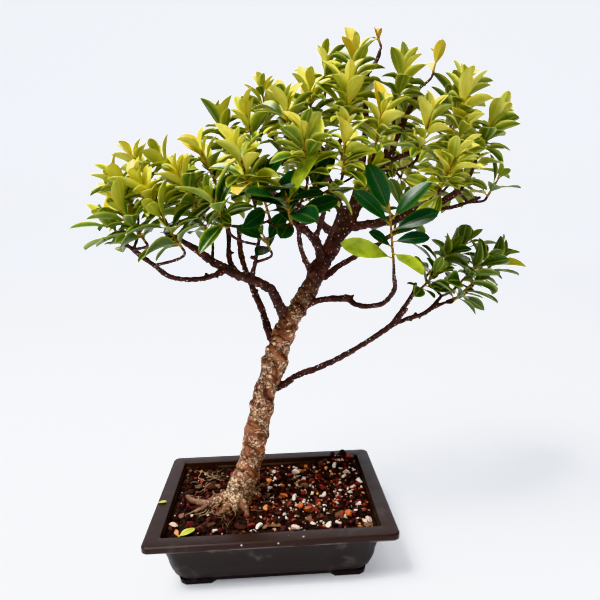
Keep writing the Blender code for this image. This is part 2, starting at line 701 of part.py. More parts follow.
def place_leaves(name, number, obstacles):
    """The leaves of one shoot, posed or set spirally by a seeded rule, turned until they touch nothing."""
    _, count, length, kind_name = SHOOTS[name]
    kind = KINDS[kind_name]
    draw = random.Random(7100 + number)
    rings, bud = stem_rings(name)
    axis = shoot_line(name)[1]
    stem = BVHTree.FromPolygons(*stem_mesh(rings, bud, ()))
    leaves, own = [], [stem]
    for k in range(count):
        share = (k + 0.5) / count
        size = length * MM * (0.78 + 0.42 * math.sin(math.pi * (0.25 + 0.6 * share)))
        size *= draw.uniform(0.86, 1.1)
        corner = k % 3
        if name in POSED:
            tip, facing = POSED[name]["leaves"][k]
            size = Vector(tip).length * MM
            corner = max(range(3), key=lambda c: seat_at(rings, axis, k, c)[1].dot(Vector(tip)))
        seat, outward = seat_at(rings, axis, k, corner)
        for attempt in range(LEAF_TRIES):
            if name in POSED:
                along, face = posed_leaf(draw, kind, tip, facing, attempt)
            else:
                along, face = spiral_leaf(draw, kind, share, axis, outward, attempt)
            leaf = (seat, along, face, size, kind)
            wide = BVHTree.FromPolygons(leaf_plate(*leaf, BLADE + 2 * LEAF_MARGIN, 1.15, 0.08), LEAF_FACES)
            whole = BVHTree.FromPolygons(leaf_plate(*leaf, BLADE + LEAF_MARGIN, 1.05), LEAF_FACES)
            near = BVHTree.FromPolygons(leaf_plate(*leaf, BLADE * 1.5, 1.03, 0.06), LEAF_FACES)
            if any(wide.overlap(tree) or whole.overlap(tree) for tree in obstacles):
                continue
            if any(near.overlap(tree) for tree in own):
                continue
            leaves.append((k, corner, leaf))
            own.append(near)
            break
    return leaves


def stem_mesh(rings, bud, leaves):
    """Points and faces of a stem and of the leaves that grow out of its sides, as one closed skin."""
    verts = [point for ring in rings for point in ring] + [bud]
    index = {tuple(point): i for i, point in enumerate(verts)}
    seats = {(level, corner) for level, corner, _ in leaves}
    faces = [(0, 1, 2)]
    for level in range(len(rings) - 1):
        for corner in range(3):
            if (level, corner) not in seats:
                following = (corner + 1) % 3
                a, b = level * 3 + corner, level * 3 + following
                faces += [(a, b, b + 3), (a, b + 3, a + 3)]
    top, tip = 3 * (len(rings) - 1), len(verts) - 1
    faces += [(top, top + 1, tip), (top + 1, top + 2, tip), (top + 2, top, tip)]
    for _, _, leaf in leaves:
        number = []
        for point in leaf_plate(*leaf):
            key = tuple(point)
            if key not in index:
                index[key] = len(verts)
                verts.append(point)
            number.append(index[key])
        faces += [tuple(number[i] for i in face) for face in LEAF_FACES]
    return verts, faces


def build_tree(wood_material, leaf_materials):
    """Wood in one body, then each leafy shoot in a body of its own."""
    tubes = {"trunk": (trunk_stations(), TRUNK_SIDES)}
    for name, points in ROOTS.items():
        tubes["root_" + name] = (smooth_route(points, 1), ROOT_SIDES)
    for name, points in BRANCHES.items():
        tubes["branch_" + name] = (smooth_route(points, 1), BRANCH_SIDES)
    grown = [s for name, (stations, _) in tubes.items() if name.startswith("branch_") for s in stations[1:]]
    for name in SHOOTS:
        twig = twig_to(*shoot_line(name), grown)
        tubes["twig_" + name] = (twig, TWIG_SIDES)
        grown += twig[1:-1]

    pieces = []
    for name, (stations, sides) in tubes.items():
        pieces.append(object_of("wood" if name == "trunk" else name, *tube(stations, sides), wood_material))
    wood = join_all(pieces[0], pieces[1:], solver="MANIFOLD")
    wood.data.shade_smooth()
    wood.data.set_sharp_from_angle(angle=math.radians(50))

    cutters = []
    for name, (stations, sides) in tubes.items():
        if name == "trunk" or name.startswith("root_"):
            cutters.append(object_of("hole_" + name, *tube(stations, sides, HOLE_SWELL), wood_material))

    obstacles = [BVHTree.FromPolygons(*tube(stations, sides)) for stations, sides in tubes.values()]
    stem_trees = {name: BVHTree.FromPolygons(*stem_mesh(*stem_rings(name), ())) for name in SHOOTS}
    numbers = {name: number for number, name in enumerate(SHOOTS)}
    for name in sorted(SHOOTS, key=lambda shoot: shoot not in POSED):
        others = [tree for other, tree in stem_trees.items() if other != name]
        leaves = place_leaves(name, numbers[name], obstacles + others)
        obstacles += [BVHTree.FromPolygons(leaf_plate(*leaf), LEAF_FACES) for _, _, leaf in leaves]
        verts, faces = stem_mesh(*stem_rings(name), leaves)
        object_of("shoot_" + name, verts, faces, leaf_materials[SHOOTS[name][3]])
    return cutters


def build_dropped_leaf(name, at, length, turn, material, ground):
    """A leaf that lies just clear of what is under it, raised by looking down on that surface."""
    along = Vector((math.cos(turn), math.sin(turn), 0))
    across = Vector((-along.y, along.x, 0))
    half = 0.24 * length
    plan = [(-0.5, 0.0), *[(share - 0.5, width) for share, width in LEAF_OUTLINE]]
    low = [at + along * length * share + across * half * width for share, width in plan]
    under = BVHTree.FromObject(ground, bpy.context.evaluated_depsgraph_get())
    highest = -1.0
    reach = 6
    for i in range(-reach, reach + 1):
        for j in range(-reach, reach + 1):
            spot = at + along * (length / 2 * i / reach) + across * (half * j / reach)
            hit = under.ray_cast(Vector((spot.x, spot.y, 1.0)), Vector((0, 0, -1)))
            if hit[0] is not None:
                highest = max(highest, hit[0].z)
    rings = []
    for height in (highest + 1.5 * CLEARANCE, highest + 1.5 * CLEARANCE + BLADE):
        rings.append([point + Vector((0, 0, height)) for point in low])
    return object_of(name, *loft(rings), material)


def main():
    start_clean()
    plastic = make_material("pot_plastic", (0.070, 0.050, 0.045), 0.55)
    earth = make_material("soil", (0.090, 0.045, 0.035), 0.95)
    bark = make_material("bark", (0.260, 0.150, 0.095), 0.75)
    leaf_materials = {
        "young": make_material("leaf_young", (0.330, 0.420, 0.050), 0.35),
        "mature": make_material("leaf_mature", (0.110, 0.250, 0.040), 0.35),
        "dark": make_material("leaf_dark", (0.030, 0.120, 0.035), 0.30),
    }
    pot = build_pot(plastic)
    cutters = build_tree(bark, leaf_materials)
    soil = build_soil(earth, cutters)
    build_dropped_leaf(
        "fallen_leaf", FALLEN_LEAF_AT, FALLEN_LEAF_LENGTH, FALLEN_LEAF_TURN, leaf_materials["young"], soil
    )
    build_dropped_leaf("leaf_scrap", SCRAP_AT, SCRAP_LENGTH, SCRAP_TURN, leaf_materials["young"], pot)


main()
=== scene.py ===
"""The looks of a tiger bark ficus bonsai in its training pot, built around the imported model.

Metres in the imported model's frame. Routes are in millimetres from the middle of the pot's
underside, X to the right, Y to the back, Z up.
"""

import json
import math
import random

import bmesh
import bpy
import numpy as np
from mathutils import Matrix, Vector, noise
from mathutils.bvhtree import BVHTree


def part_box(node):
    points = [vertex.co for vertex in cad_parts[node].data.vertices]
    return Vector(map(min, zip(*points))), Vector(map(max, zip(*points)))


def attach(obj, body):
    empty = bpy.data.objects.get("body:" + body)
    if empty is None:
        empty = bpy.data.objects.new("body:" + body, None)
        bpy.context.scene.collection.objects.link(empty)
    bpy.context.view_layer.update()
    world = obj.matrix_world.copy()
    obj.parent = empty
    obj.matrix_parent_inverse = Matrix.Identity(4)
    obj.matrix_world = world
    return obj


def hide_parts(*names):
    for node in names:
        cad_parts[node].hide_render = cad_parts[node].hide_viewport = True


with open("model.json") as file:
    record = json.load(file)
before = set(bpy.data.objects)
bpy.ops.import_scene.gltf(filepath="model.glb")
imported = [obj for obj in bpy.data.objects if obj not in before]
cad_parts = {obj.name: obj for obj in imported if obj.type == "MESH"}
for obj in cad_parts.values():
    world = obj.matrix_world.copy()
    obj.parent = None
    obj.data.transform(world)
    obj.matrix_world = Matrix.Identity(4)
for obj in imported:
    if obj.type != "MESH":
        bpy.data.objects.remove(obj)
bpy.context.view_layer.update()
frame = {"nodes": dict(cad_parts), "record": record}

# The training pot. One moulding in dark brown plastic: a wide flat rim over a bellied bowl,
# on a plinth with four low scalloped corner feet and two drain holes. It is scuffed, and
# dusty water has dried on the bowl. Its lip's lower edge is rubbed pale, with a painted
# highlight along it.
MM = 0.001
POT_LOW, POT_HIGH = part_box("pot")
POT_SIZE = POT_HIGH - POT_LOW
POT_AT = Vector(((POT_LOW.x + POT_HIGH.x) / 2, (POT_LOW.y + POT_HIGH.y) / 2, 0))
RIM_WIDTH = 16 * MM
RIM_LIP = 7.5 * MM
RIM_DISH = 0.2 * MM
LIP_EDGE = 1.2 * MM
POT_WALL = 3 * MM
BOWL_FLOOR = 8.5 * MM
FOOT_HEIGHT = 4 * MM
FOOT_INSET = 28.5 * MM
FOOT_DRAFT_FROM = 14 * MM
DRAIN_RADIUS = 9 * MM
DRAIN_OFFSET = 52 * MM
CORNER_SEGMENTS = 7
BOWL = [
    (9, 26, 15), (13, 22.8, 17), (20, 20.4, 17), (26, 19.2, 16), (33, 18.4, 15), (44, 16, 13),
    (56.5, 13, 10),
]
FOOT_PLAN = [
    (1, 7), (3, 3), (8, 0), (34, 0), (39, 5), (43, 5), (46, 8), (45, 12), (42, 14), (38, 12),
    (33, 12), (28, 15), (25, 20), (17, 21), (15, 25), (16, 31), (13, 34), (8, 33), (4, 30),
]
RIM_BROWN = (0.023, 0.0125, 0.010)
BOWL_BROWN = (0.020, 0.0145, 0.0135)
EDGE_WORN_AND_HIGHLIGHT = (0.110, 0.080, 0.068)
DUST = (0.150, 0.145, 0.130)
SPECK = (0.62, 0.58, 0.52)
MOTTLE = (0.50, 0.48, 0.46)


def put_in(name, data):
    """Puts a mesh, a light or a camera into the scene under that name."""
    thing = bpy.data.objects.new(name, data)
    bpy.context.scene.collection.objects.link(thing)
    return thing


def pick(piece):
    """Makes a piece the only one selected, and the active one."""
    bpy.ops.object.select_all(action="DESELECT")
    piece.select_set(True)
    bpy.context.view_layer.objects.active = piece


def start_piece(name):
    """An empty mesh under that name, open in edit mode."""
    piece = put_in(name, bpy.data.meshes.new(name))
    pick(piece)
    bpy.ops.object.mode_set(mode="EDIT")
    return piece


def end_piece():
    """Turns every face of the mesh in hand outward, and leaves edit mode."""
    bpy.ops.mesh.select_all(action="SELECT")
    bpy.ops.mesh.normals_make_consistent(inside=False)
    bpy.ops.object.mode_set(mode="OBJECT")


def apply_all(piece):
    """Applies the piece's modifiers in their order."""
    bpy.context.view_layer.objects.active = piece
    for modifier in list(piece.modifiers):
        bpy.ops.object.modifier_apply(modifier=modifier.name)


def smooth_by_angle(piece, degrees):
    """Smooth shading, except over edges that turn by more than that."""
    pick(piece)
    bpy.ops.object.shade_smooth_by_angle(angle=math.radians(degrees))


class Coat:
    """What one node lays over a surface, a mask or a colour, with plain sums and products."""

    def __init__(self, tree, socket):
        self.tree = tree
        self.socket = socket

    def __getitem__(self, name):
        return Coat(self.tree, self.socket.node.outputs[name])

    def __add__(self, other):
        return reckon("ADD", self, other)

    def __mul__(self, other):
        return reckon("MULTIPLY", self, other)

    def __sub__(self, other):
        return reckon("SUBTRACT", self, other)

    def __rsub__(self, other):
        return reckon("SUBTRACT", other, self)


def plug(node, inputs):
    """Links or sets a node's inputs by name or number."""
    for name, value in inputs.items():
        if isinstance(value, Coat):
            value.tree.links.new(value.socket, node.inputs[name])
        else:
            node.inputs[name].default_value = value


def add_node(tree, kind, inputs=None, output=0, **settings):
    """A node with its settings and inputs; gives one of its outputs."""
    node = tree.nodes.new(kind)
    for name, value in settings.items():
        setattr(node, name, value)
    plug(node, inputs or {})
    return Coat(tree, node.outputs[output])


def reckon(operation, first, second=0.0, clamp=False):
    """A sum, product or the like of two masks or numbers."""
    tree = (first if isinstance(first, Coat) else second).tree
    return add_node(tree, "ShaderNodeMath", {0: first, 1: second}, operation=operation, use_clamp=clamp)


def band(mask, low, high):
    """A smooth step of a mask from 0 at low to 1 at high."""
    inputs = {"Value": mask, "From Min": low, "From Max": high}
    return add_node(mask.tree, "ShaderNodeMapRange", inputs, "Result", interpolation_type="SMOOTHSTEP")


def blend(factor, first, second, kind="MIX"):
    """Two colours mixed by a mask or a number. The sockets' numbers are those of a colour mix."""
    tree = next(value for value in (factor, first, second) if isinstance(value, Coat)).tree
    first, second = (value if isinstance(value, Coat) else (*value, 1.0) for value in (first, second))
    inputs = {0: factor, 6: first, 7: second}
    return add_node(tree, "ShaderNodeMix", inputs, 2, data_type="RGBA", blend_type=kind)


def clouds(place, scale, detail, roughness=0.5, distortion=0.0):
    """Cloudy noise over a surface."""
    inputs = {
        "Vector": place, "Scale": scale, "Detail": detail, "Roughness": roughness,
        "Distortion": distortion,
    }
    return add_node(place.tree, "ShaderNodeTexNoise", inputs, "Fac")


def cells(place, scale):
    """Random cells over a surface: the distance in each, and a chance from 0 to 1 of its own."""
    inputs = {"Vector": place, "Scale": scale, "Randomness": 1.0}
    distance = add_node(place.tree, "ShaderNodeTexVoronoi", inputs, "Distance")
    return distance, add_node(place.tree, "ShaderNodeSeparateColor", {"Color": distance["Color"]}, "Red")


def along_axis(place, axis):
    """One coordinate of a place."""
    return add_node(place.tree, "ShaderNodeSeparateXYZ", {"Vector": place}, axis)


def new_material(name):
    """A material, and the place of each point in the object's own coordinates."""
    material = bpy.data.materials.new(name)
    material.use_nodes = True
    return material, add_node(material.node_tree, "ShaderNodeTexCoord", output="Object")


def finish_paint(material, colour, relief, rough, gloss=0.35):
    """Colour, roughness, gloss and relief (height, strength, depth) put on the material's shader."""
    height, strength, depth = relief
    relief = {"Height": height, "Strength": strength, "Distance": depth}
    bump = add_node(colour.tree, "ShaderNodeBump", relief)
    inputs = {"Base Color": colour, "Roughness": rough, "Specular IOR Level": gloss, "Normal": bump}
    plug(material.node_tree.nodes["Principled BSDF"], inputs)
    return material


def pot_ring(piece, level, inset, corner, z):
    """One level of the pot: a rounded rectangle of loose edges, known by its number."""
    middle = (POT_AT.x, POT_AT.y, z)
    bpy.ops.mesh.select_all(action="DESELECT")
    bpy.ops.mesh.primitive_plane_add(size=1, location=middle)
    span = (POT_SIZE.x - 2 * inset, POT_SIZE.y - 2 * inset, 1)
    bpy.ops.transform.resize(value=span, center_override=middle)
    bpy.ops.mesh.bevel(offset=corner, segments=CORNER_SEGMENTS, affect="VERTICES")
    bpy.ops.mesh.delete(type="ONLY_FACE")
    mesh = bmesh.from_edit_mesh(piece.data)
    levels = mesh.verts.layers.int.get("level") or mesh.verts.layers.int.new("level")
    for vert in mesh.verts:
        if vert[levels] == 0:
            vert[levels] = level
    bmesh.update_edit_mesh(piece.data)


def select_levels(piece, *wanted):
    """Selects the edges that lie within one of the wanted levels."""
    bpy.ops.mesh.select_all(action="DESELECT")
    mesh = bmesh.from_edit_mesh(piece.data)
    levels = mesh.verts.layers.int["level"]
    for edge in mesh.edges:
        first, second = (vert[levels] for vert in edge.verts)
        edge.select_set(first == second and first in wanted)
    bmesh.update_edit_mesh(piece.data)


def model_pot():
    """The pot's outside, rim and inside, bridged from ring to ring and closed at both ends."""
    lip_bottom = POT_SIZE.z - RIM_LIP
    rings = [(28 * MM, 14 * MM, FOOT_HEIGHT), (27.5 * MM, 14 * MM, 8 * MM)]
    rings += [(inset * MM, corner * MM, z * MM) for z, inset, corner in BOWL]
    rings += [
        (LIP_EDGE, 6.5 * MM, lip_bottom),
        (0, 7 * MM, lip_bottom + LIP_EDGE),
        (0, 7 * MM, POT_SIZE.z - LIP_EDGE),
        (LIP_EDGE, 6.5 * MM, POT_SIZE.z),
        (RIM_WIDTH - 0.8 * MM, 3 * MM, POT_SIZE.z - RIM_DISH),
        (RIM_WIDTH, 2.6 * MM, POT_SIZE.z - RIM_DISH - 0.8 * MM),
        (RIM_WIDTH + 0.6 * MM, 3 * MM, lip_bottom),
    ]
    for z, inset, corner in reversed(BOWL[1:-1]):
        rings.append((inset * MM + POT_WALL, (corner - 3) * MM, z * MM))
    rings.append((31 * MM, 11 * MM, BOWL_FLOOR))
    pot = start_piece("training_pot")
    bpy.ops.mesh.select_mode(type="EDGE")
    for level, (inset, corner, z) in enumerate(rings, start=1):
        pot_ring(pot, level, inset, corner, z)
    for level in range(1, len(rings)):
        select_levels(pot, level, level + 1)
        bpy.ops.mesh.bridge_edge_loops()
    for level in (1, len(rings)):
        select_levels(pot, level)
        bpy.ops.mesh.edge_face_add()
    end_piece()
    return pot


def join_to_pot(pot, other, operation):
    """Melts another piece into the pot, or cuts it out."""
    joining = pot.modifiers.new("join", "BOOLEAN")
    joining.operation = operation
    joining.object = other
    joining.solver = "EXACT"
    apply_all(pot)
    bpy.data.objects.remove(other, do_unlink=True)


def add_foot(pot, side_x, side_y):
    """A corner foot, cut from its plan and drawn up into the plinth."""
    outer = Vector((POT_SIZE.x / 2 - FOOT_INSET, POT_SIZE.y / 2 - FOOT_INSET))
    plan = []
    for along, across in FOOT_PLAN:
        x = POT_AT.x + side_x * (outer.x - along * MM)
        y = POT_AT.y + side_y * (outer.y - across * MM)
        plan.append((x, y, 0.0))
    foot = start_piece("foot")
    bpy.ops.object.mode_set(mode="OBJECT")
    foot.data.from_pydata(plan, [], [tuple(range(len(plan)))])
    bpy.ops.object.mode_set(mode="EDIT")
    bpy.ops.mesh.select_all(action="SELECT")
    rise = {"value": (0, 0, FOOT_HEIGHT + 2 * MM)}
    bpy.ops.mesh.extrude_region_move(TRANSFORM_OT_translate=rise)
    middle = (plan[0][0] - side_x * FOOT_DRAFT_FROM, plan[0][1] - side_y * FOOT_DRAFT_FROM, 0)
    bpy.ops.transform.resize(value=(1.06, 1.06, 1.0), center_override=middle)
    end_piece()
    join_to_pot(pot, foot, "UNION")


def paint_pot():
    """Satin brown plastic: mottled, dusty on the bowl, rubbed pale along the lip with a painted highlight
    there, with specks.
    """
    material, place = new_material("brown_moulded_plastic")
    height = along_axis(place, "Z")
    cloud = clouds(place, 38.0, 4.0, 0.6)
    smear = clouds(place, 30.0, 4.0, 0.5, 0.5)
    rim_share = band(height, 0.052, 0.057)
    colour = blend(rim_share, BOWL_BROWN, RIM_BROWN)
    colour = blend(band(cloud, 0.35, 0.75), colour, MOTTLE, "SOFT_LIGHT")
    film = band(smear, 0.57, 0.72) * 0.50 * (1.0 - rim_share * 0.75)
    colour = blend(film, colour, DUST)
    # Wear and a painted highlight: a pale line round the lip's lower edge, broken up by the clouds.
    lip = band(height, 0.0555, 0.0568) * band(height, 0.0592, 0.0575)
    colour = blend(lip * band(cloud, 0.36, 0.60), colour, EDGE_WORN_AND_HIGHLIGHT)
    distance, chance = cells(place, 85.0)
    dot = reckon("LESS_THAN", distance, 0.075) * reckon("GREATER_THAN", chance, 0.72)
    colour = blend(dot * 0.8, colour, SPECK)
    rough = reckon("ADD", cloud * 0.22 + 0.36, film * 0.5, clamp=True)
    relief = clouds(place, 900.0, 3.0) + cloud * 2.0
    return finish_paint(material, colour, (relief, 0.22, 0.0004), rough, 0.26)


pot = model_pot()
for corner_x in (-1, 1):
    for corner_y in (-1, 1):
        add_foot(pot, corner_x, corner_y)
for side in (-1, 1):
    bpy.ops.object.select_all(action="DESELECT")
    hole_at = (POT_AT.x + side * DRAIN_OFFSET, POT_AT.y, BOWL_FLOOR)
    bpy.ops.mesh.primitive_cylinder_add(vertices=32, radius=DRAIN_RADIUS, depth=30 * MM, location=hole_at)
    join_to_pot(pot, bpy.context.active_object, "DIFFERENCE")
rounding = pot.modifiers.new("round_edges", "BEVEL")
rounding.width = 0.5 * MM
rounding.segments = 2
rounding.limit_method = "ANGLE"
rounding.angle_limit = math.radians(38)
apply_all(pot)
smooth_by_angle(pot, 40)
pot.data.materials.append(paint_pot())
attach(pot, "root")
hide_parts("pot")

# The soil's top. Dark humus round the root ball, lumpy, mounded at the trunk's foot, with a
# heap against the back rim at the right.
SOIL_LEVEL = 57 * MM
SOIL_HEAP = 14 * MM
SOIL_HEAP_AT = Vector((90 * MM, 62 * MM))
SOIL_HEAP_REACH = 22 * MM
SOIL_MOUND = 4 * MM
SOIL_MOUND_REACH = 42 * MM
SOIL_FALL = 2.5 * MM
SOIL_LUMPS = 1.8 * MM
SOIL_LUMP_SIZE = 7 * MM
SOIL_CRUMBS = 1.3 * MM
SOIL_CRUMB_SIZES = (2.6 * MM, 1.2 * MM)
SOIL_TAPER = (0.86, 0.80, 0.0)
SOIL_HALF = Vector((POT_SIZE.x / 2 - RIM_WIDTH - 0.9 * MM, POT_SIZE.y / 2 - RIM_WIDTH - 0.9 * MM))
SOIL_DEPTH = 40 * MM
TRUNK_FOOT = Vector((-36 * MM, -13 * MM))
HUMUS_HOLLOW_SHADE = (0.004, 0.0025, 0.002)
HUMUS_BROWN = (0.042, 0.019, 0.014)


def soil_height(x, y):
    """The soil's height over a spot, measured from the pot's middle."""
    fall = max(abs(x) / (POT_SIZE.x / 2 - RIM_WIDTH), abs(y) / (POT_SIZE.y / 2 - RIM_WIDTH)) ** 6
    foot = (Vector((x, y)) - TRUNK_FOOT).length / SOIL_MOUND_REACH
    heap = (Vector((x, y)) - SOIL_HEAP_AT).length / SOIL_HEAP_REACH
    height = SOIL_LEVEL - SOIL_FALL * fall + SOIL_MOUND * math.exp(-foot * foot) * (1 - fall)
    height += SOIL_HEAP * math.exp(-heap * heap)
    return height + SOIL_LUMPS * noise.noise(Vector((x, y, 0.0)) / SOIL_LUMP_SIZE)


def model_soil_bed():
    """The soil's lumpy top from a fine grid, its sides drawn down and in to the pot's floor."""
    bed = start_piece("soil_bed")
    bpy.ops.mesh.select_mode(type="VERT")
    bpy.ops.mesh.primitive_grid_add(x_subdivisions=150, y_subdivisions=102, size=1, location=POT_AT)
    bpy.ops.transform.resize(value=(2 * SOIL_HALF.x, 2 * SOIL_HALF.y, 1), center_override=POT_AT)
    mesh = bmesh.from_edit_mesh(bed.data)
    large, small = SOIL_CRUMB_SIZES
    for vert in mesh.verts:
        x, y = vert.co.x - POT_AT.x, vert.co.y - POT_AT.y
        crumbs = noise.noise(Vector((x, y, 0.02)) / large)
        crumbs += 0.5 * noise.noise(Vector((x, y, 0.05)) / small)
        vert.co.z = soil_height(x, y) + SOIL_CRUMBS * crumbs - 0.6 * MM
    bmesh.update_edit_mesh(bed.data)
    bpy.ops.mesh.select_all(action="DESELECT")
    bpy.ops.mesh.select_non_manifold()
    bpy.ops.mesh.extrude_edges_move(TRANSFORM_OT_translate={"value": (0, 0, -SOIL_DEPTH)})
    bpy.ops.transform.resize(value=SOIL_TAPER, center_override=(POT_AT.x, POT_AT.y, 14 * MM))
    bpy.ops.mesh.edge_face_add()
    end_piece()
    bed.data.shade_smooth()
    return bed


def paint_humus(name, dark, light):
    """Damp crumbly humus, dark in its hollows as painted shade: its colour follows the relief."""
    material, place = new_material(name)
    coarse = clouds(place, 240.0, 6.0, 0.7)
    relief = coarse + clouds(place, 1500.0, 3.0, 0.7) * 0.5
    # Painted shade: the same clouds that sink the relief darken the colour, nearly black in the hollows.
    return finish_paint(material, blend(band(coarse, 0.40, 0.68), dark, light), (relief, 0.9, 0.0012), 0.92)


soil_bed = model_soil_bed()
soil_bed.data.materials.append(paint_humus("damp_humus", HUMUS_HOLLOW_SHADE, HUMUS_BROWN))
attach(soil_bed, "root")
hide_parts("soil")

# The grit strewn on the soil. Crumbs of humus, crushed red lava, baked orange clay, cream
# pumice and flat chips of bark, all raked in by hand. It is coarser and paler on the right.
GRIT = {
    "humus_crumbs": {
        "number": 1000, "size": (2.4, 6.5), "flat": 0.8, "right": 0.42, "rough": 0.95,
        "shades": [(0.003, 0.002, 0.002), (0.040, 0.015, 0.013)], "laid": [],
    },
    "humus_chunks": {
        "number": 90, "size": (6.0, 11.0), "flat": 0.7, "right": 0.45, "rough": 0.95,
        "shades": [(0.008, 0.004, 0.004), (0.080, 0.032, 0.025)],
        "laid": [(92, 64, 12, 0.0), (67, 62, 12, 0.9), (78, 66, 11, 0.3), (-70, 18, 11, 0.8)],
    },
    "lava_grit": {
        "number": 360, "size": (2.6, 8.0), "flat": 0.75, "right": 0.70, "rough": 0.85,
        "shades": [(0.052, 0.010, 0.013), (0.30, 0.056, 0.046)],
        "laid": [
            (34, 22, 7, 1.0), (37, 1, 6, 1.0), (-20, -60, 8, 0.5), (-86, -53, 10, 0.3), (97, 58, 8, 1.0),
        ],
    },
    "clay_grit": {
        "number": 80, "size": (2.6, 7.5), "flat": 0.5, "right": 0.86, "rough": 0.80,
        "shades": [(0.55, 0.110, 0.035), (0.90, 0.42, 0.150)],
        "laid": [
            (-3, 29, 10, 0.5), (-6, -31, 10, 0.5), (14, -5, 9, 0.2), (31, -25, 9, 0.1), (39, -34, 13, 0.1),
            (52, -25, 9, 0.6), (68, 48, 8, 1.0), (43, 60, 8, 0.3), (83, -47, 12, 0.1), (-97, -62, 9, 0.7),
        ],
    },
    "pumice_grit": {
        "number": 400, "size": (1.5, 6.5), "flat": 0.6, "right": 0.86, "rough": 0.75,
        "shades": [(0.74, 0.50, 0.36), (0.98, 0.92, 0.85)],
        "laid": [
            (-1, 10, 6.5, 1.0), (30, 46, 12, 0.6), (2, 49, 8, 0.3), (26, -11, 10, 0.8), (57, -29, 6, 1.0),
            (79, 47, 9, 0.7), (60, -7, 10, 0.4), (101, -57, 11, 0.3), (60, -62, 9, 0.8), (68, -60, 8, 0.5),
            (106, 22, 8, 1.0), (-13, -60, 9, 0.9), (-103, -47, 9, 0.2), (-59, -65, 8, 0.8),
            (22, -67, 12, 0.4), (94, 36, 9, 0.3), (88, 30, 7, 0.9), (97, 10, 9, 0.2),
        ],
    },
    "bark_chips": {
        "number": 70, "size": (5.0, 13.0), "flat": 0.3, "right": 0.50, "rough": 0.85,
        "shades": [(0.040, 0.018, 0.012), (0.27, 0.155, 0.085)],
        "laid": [(2, -59, 15, 0.6), (-86, 24, 13, 0.3), (-6, -58, 9, 0.8)],
    },
}
GRIT_SPLIT = -8 * MM
PORE_SHADE = (0.12, 0.10, 0.10)
GRAIN_SHAPES = 6
GRAIN_EDGE = 3.2 * MM
LAID_LIFT = 1.2 * MM
FLARE_RADIUS = 17 * MM
LEAF_SPOT = (sum(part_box("fallen_leaf"), Vector()) / 2 - POT_AT).to_2d()
LEAF_SPOT_RADIUS = 13 * MM


def grain_shape(draw):
    """The points and faces of one broken grain, about 1 across: a ball with flat cuts on it."""
    bpy.ops.object.select_all(action="DESELECT")
    bpy.ops.mesh.primitive_ico_sphere_add(subdivisions=2, radius=0.5)
    ball = bpy.context.active_object
    points = np.array([v.co for v in ball.data.vertices])
    faces = [tuple(p.vertices) for p in ball.data.polygons]
    bpy.data.objects.remove(ball, do_unlink=True)
    for _ in range(8):
        cut = Vector((draw.gauss(0, 1), draw.gauss(0, 1), draw.gauss(0, 1))).normalized()
        past = np.maximum(points @ np.array(cut) - draw.uniform(0.16, 0.36), 0)
        points -= past[:, None] * np.array(cut)
    return points, faces


def merge(copies):
    """The points and the faces of many copies, each as one list."""
    points, faces, first = [], [], 0
    for own, own_faces in copies:
        points.append(own)
        faces += [tuple(first + i for i in face) for face in own_faces]
        first += len(own)
    return np.concatenate(points), faces


def store(mesh, name, values):
    """Keeps a number or a place for every point of a mesh under that name."""
    values = np.array(values, np.float32)
    kind, field = ("FLOAT", "value") if values.ndim == 1 else ("FLOAT_VECTOR", "vector")
    mesh.attributes.new(name, kind, "POINT").data.foreach_set(field, values.ravel())


def join_copies(name, copies, material, shades=()):
    """One piece of many copies, each with a shade of its own where shades are given."""
    points, faces = merge(copies)
    mesh = bpy.data.meshes.new(name)
    mesh.from_pydata(points.tolist(), [], faces)
    if shades:
        store(mesh, "shade", np.repeat(shades, [len(own) for own, _ in copies]))
    mesh.materials.append(material)
    piece = put_in(name, mesh)
    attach(piece, "root")
    return piece


def attribute_of(material, name, output="Fac"):
    """What a piece's points keep under that name."""
    return add_node(material.node_tree, "ShaderNodeAttribute", None, output, attribute_name=name)


def put_out(group, masks):
    """Gives a node group its outputs, by name."""
    for name in masks:
        group.interface.new_socket(name, in_out="OUTPUT", socket_type="NodeSocketFloat")
    plug(group.nodes.new("NodeGroupOutput"), masks)


def grain_pores():
    """Node group: the pores of a crumb, as a relief and as a mask of their hollows, where shade is painted.
    """
    group = bpy.data.node_groups.new("grain_pores", "ShaderNodeTree")
    group.interface.new_socket("Place", in_out="INPUT", socket_type="NodeSocketVector")
    relief = clouds(add_node(group, "NodeGroupInput", output="Place"), 1100.0, 4.0, 0.7)
    put_out(group, {"Relief": relief, "Shaded Pores": band(relief, 0.62, 0.40)})
    return group


GRAIN_PORES = grain_pores()


def paint_grit(name, shades, rough):
    """A porous mineral whose grains differ in tone, with painted shade in its pores."""
    material, place = new_material(name)
    pores = add_node(place.tree, "ShaderNodeGroup", {"Place": place}, node_tree=GRAIN_PORES)
    colour = blend(attribute_of(material, "shade"), *shades)
    # Painted shade: the colour is darkened towards grey-black in the pores' hollows.
    pore_shaded = blend(pores["Shaded Pores"], colour, PORE_SHADE, "MULTIPLY")
    return finish_paint(material, blend(0.35, colour, pore_shaded), (pores["Relief"], 0.6, 0.0006), rough)


def set_grain(draw, shapes, flat, x, y, size, lift):
    """One grain turned and stretched at random, at that spot of the soil."""
    spin = Matrix.Rotation(draw.uniform(0, math.tau), 3, "Z")
    spin = spin @ Matrix.Rotation(draw.uniform(-0.5, 0.5), 3, "X")
    stretch = Matrix.Diagonal((draw.uniform(0.9, 1.5), draw.uniform(0.7, 1.0), flat))
    points, faces = shapes[draw.randrange(GRAIN_SHAPES)]
    place = POT_AT + Vector((x, y, soil_height(x, y) + lift))
    return points @ (np.array(spin @ stretch) * size).T + np.array(place), faces


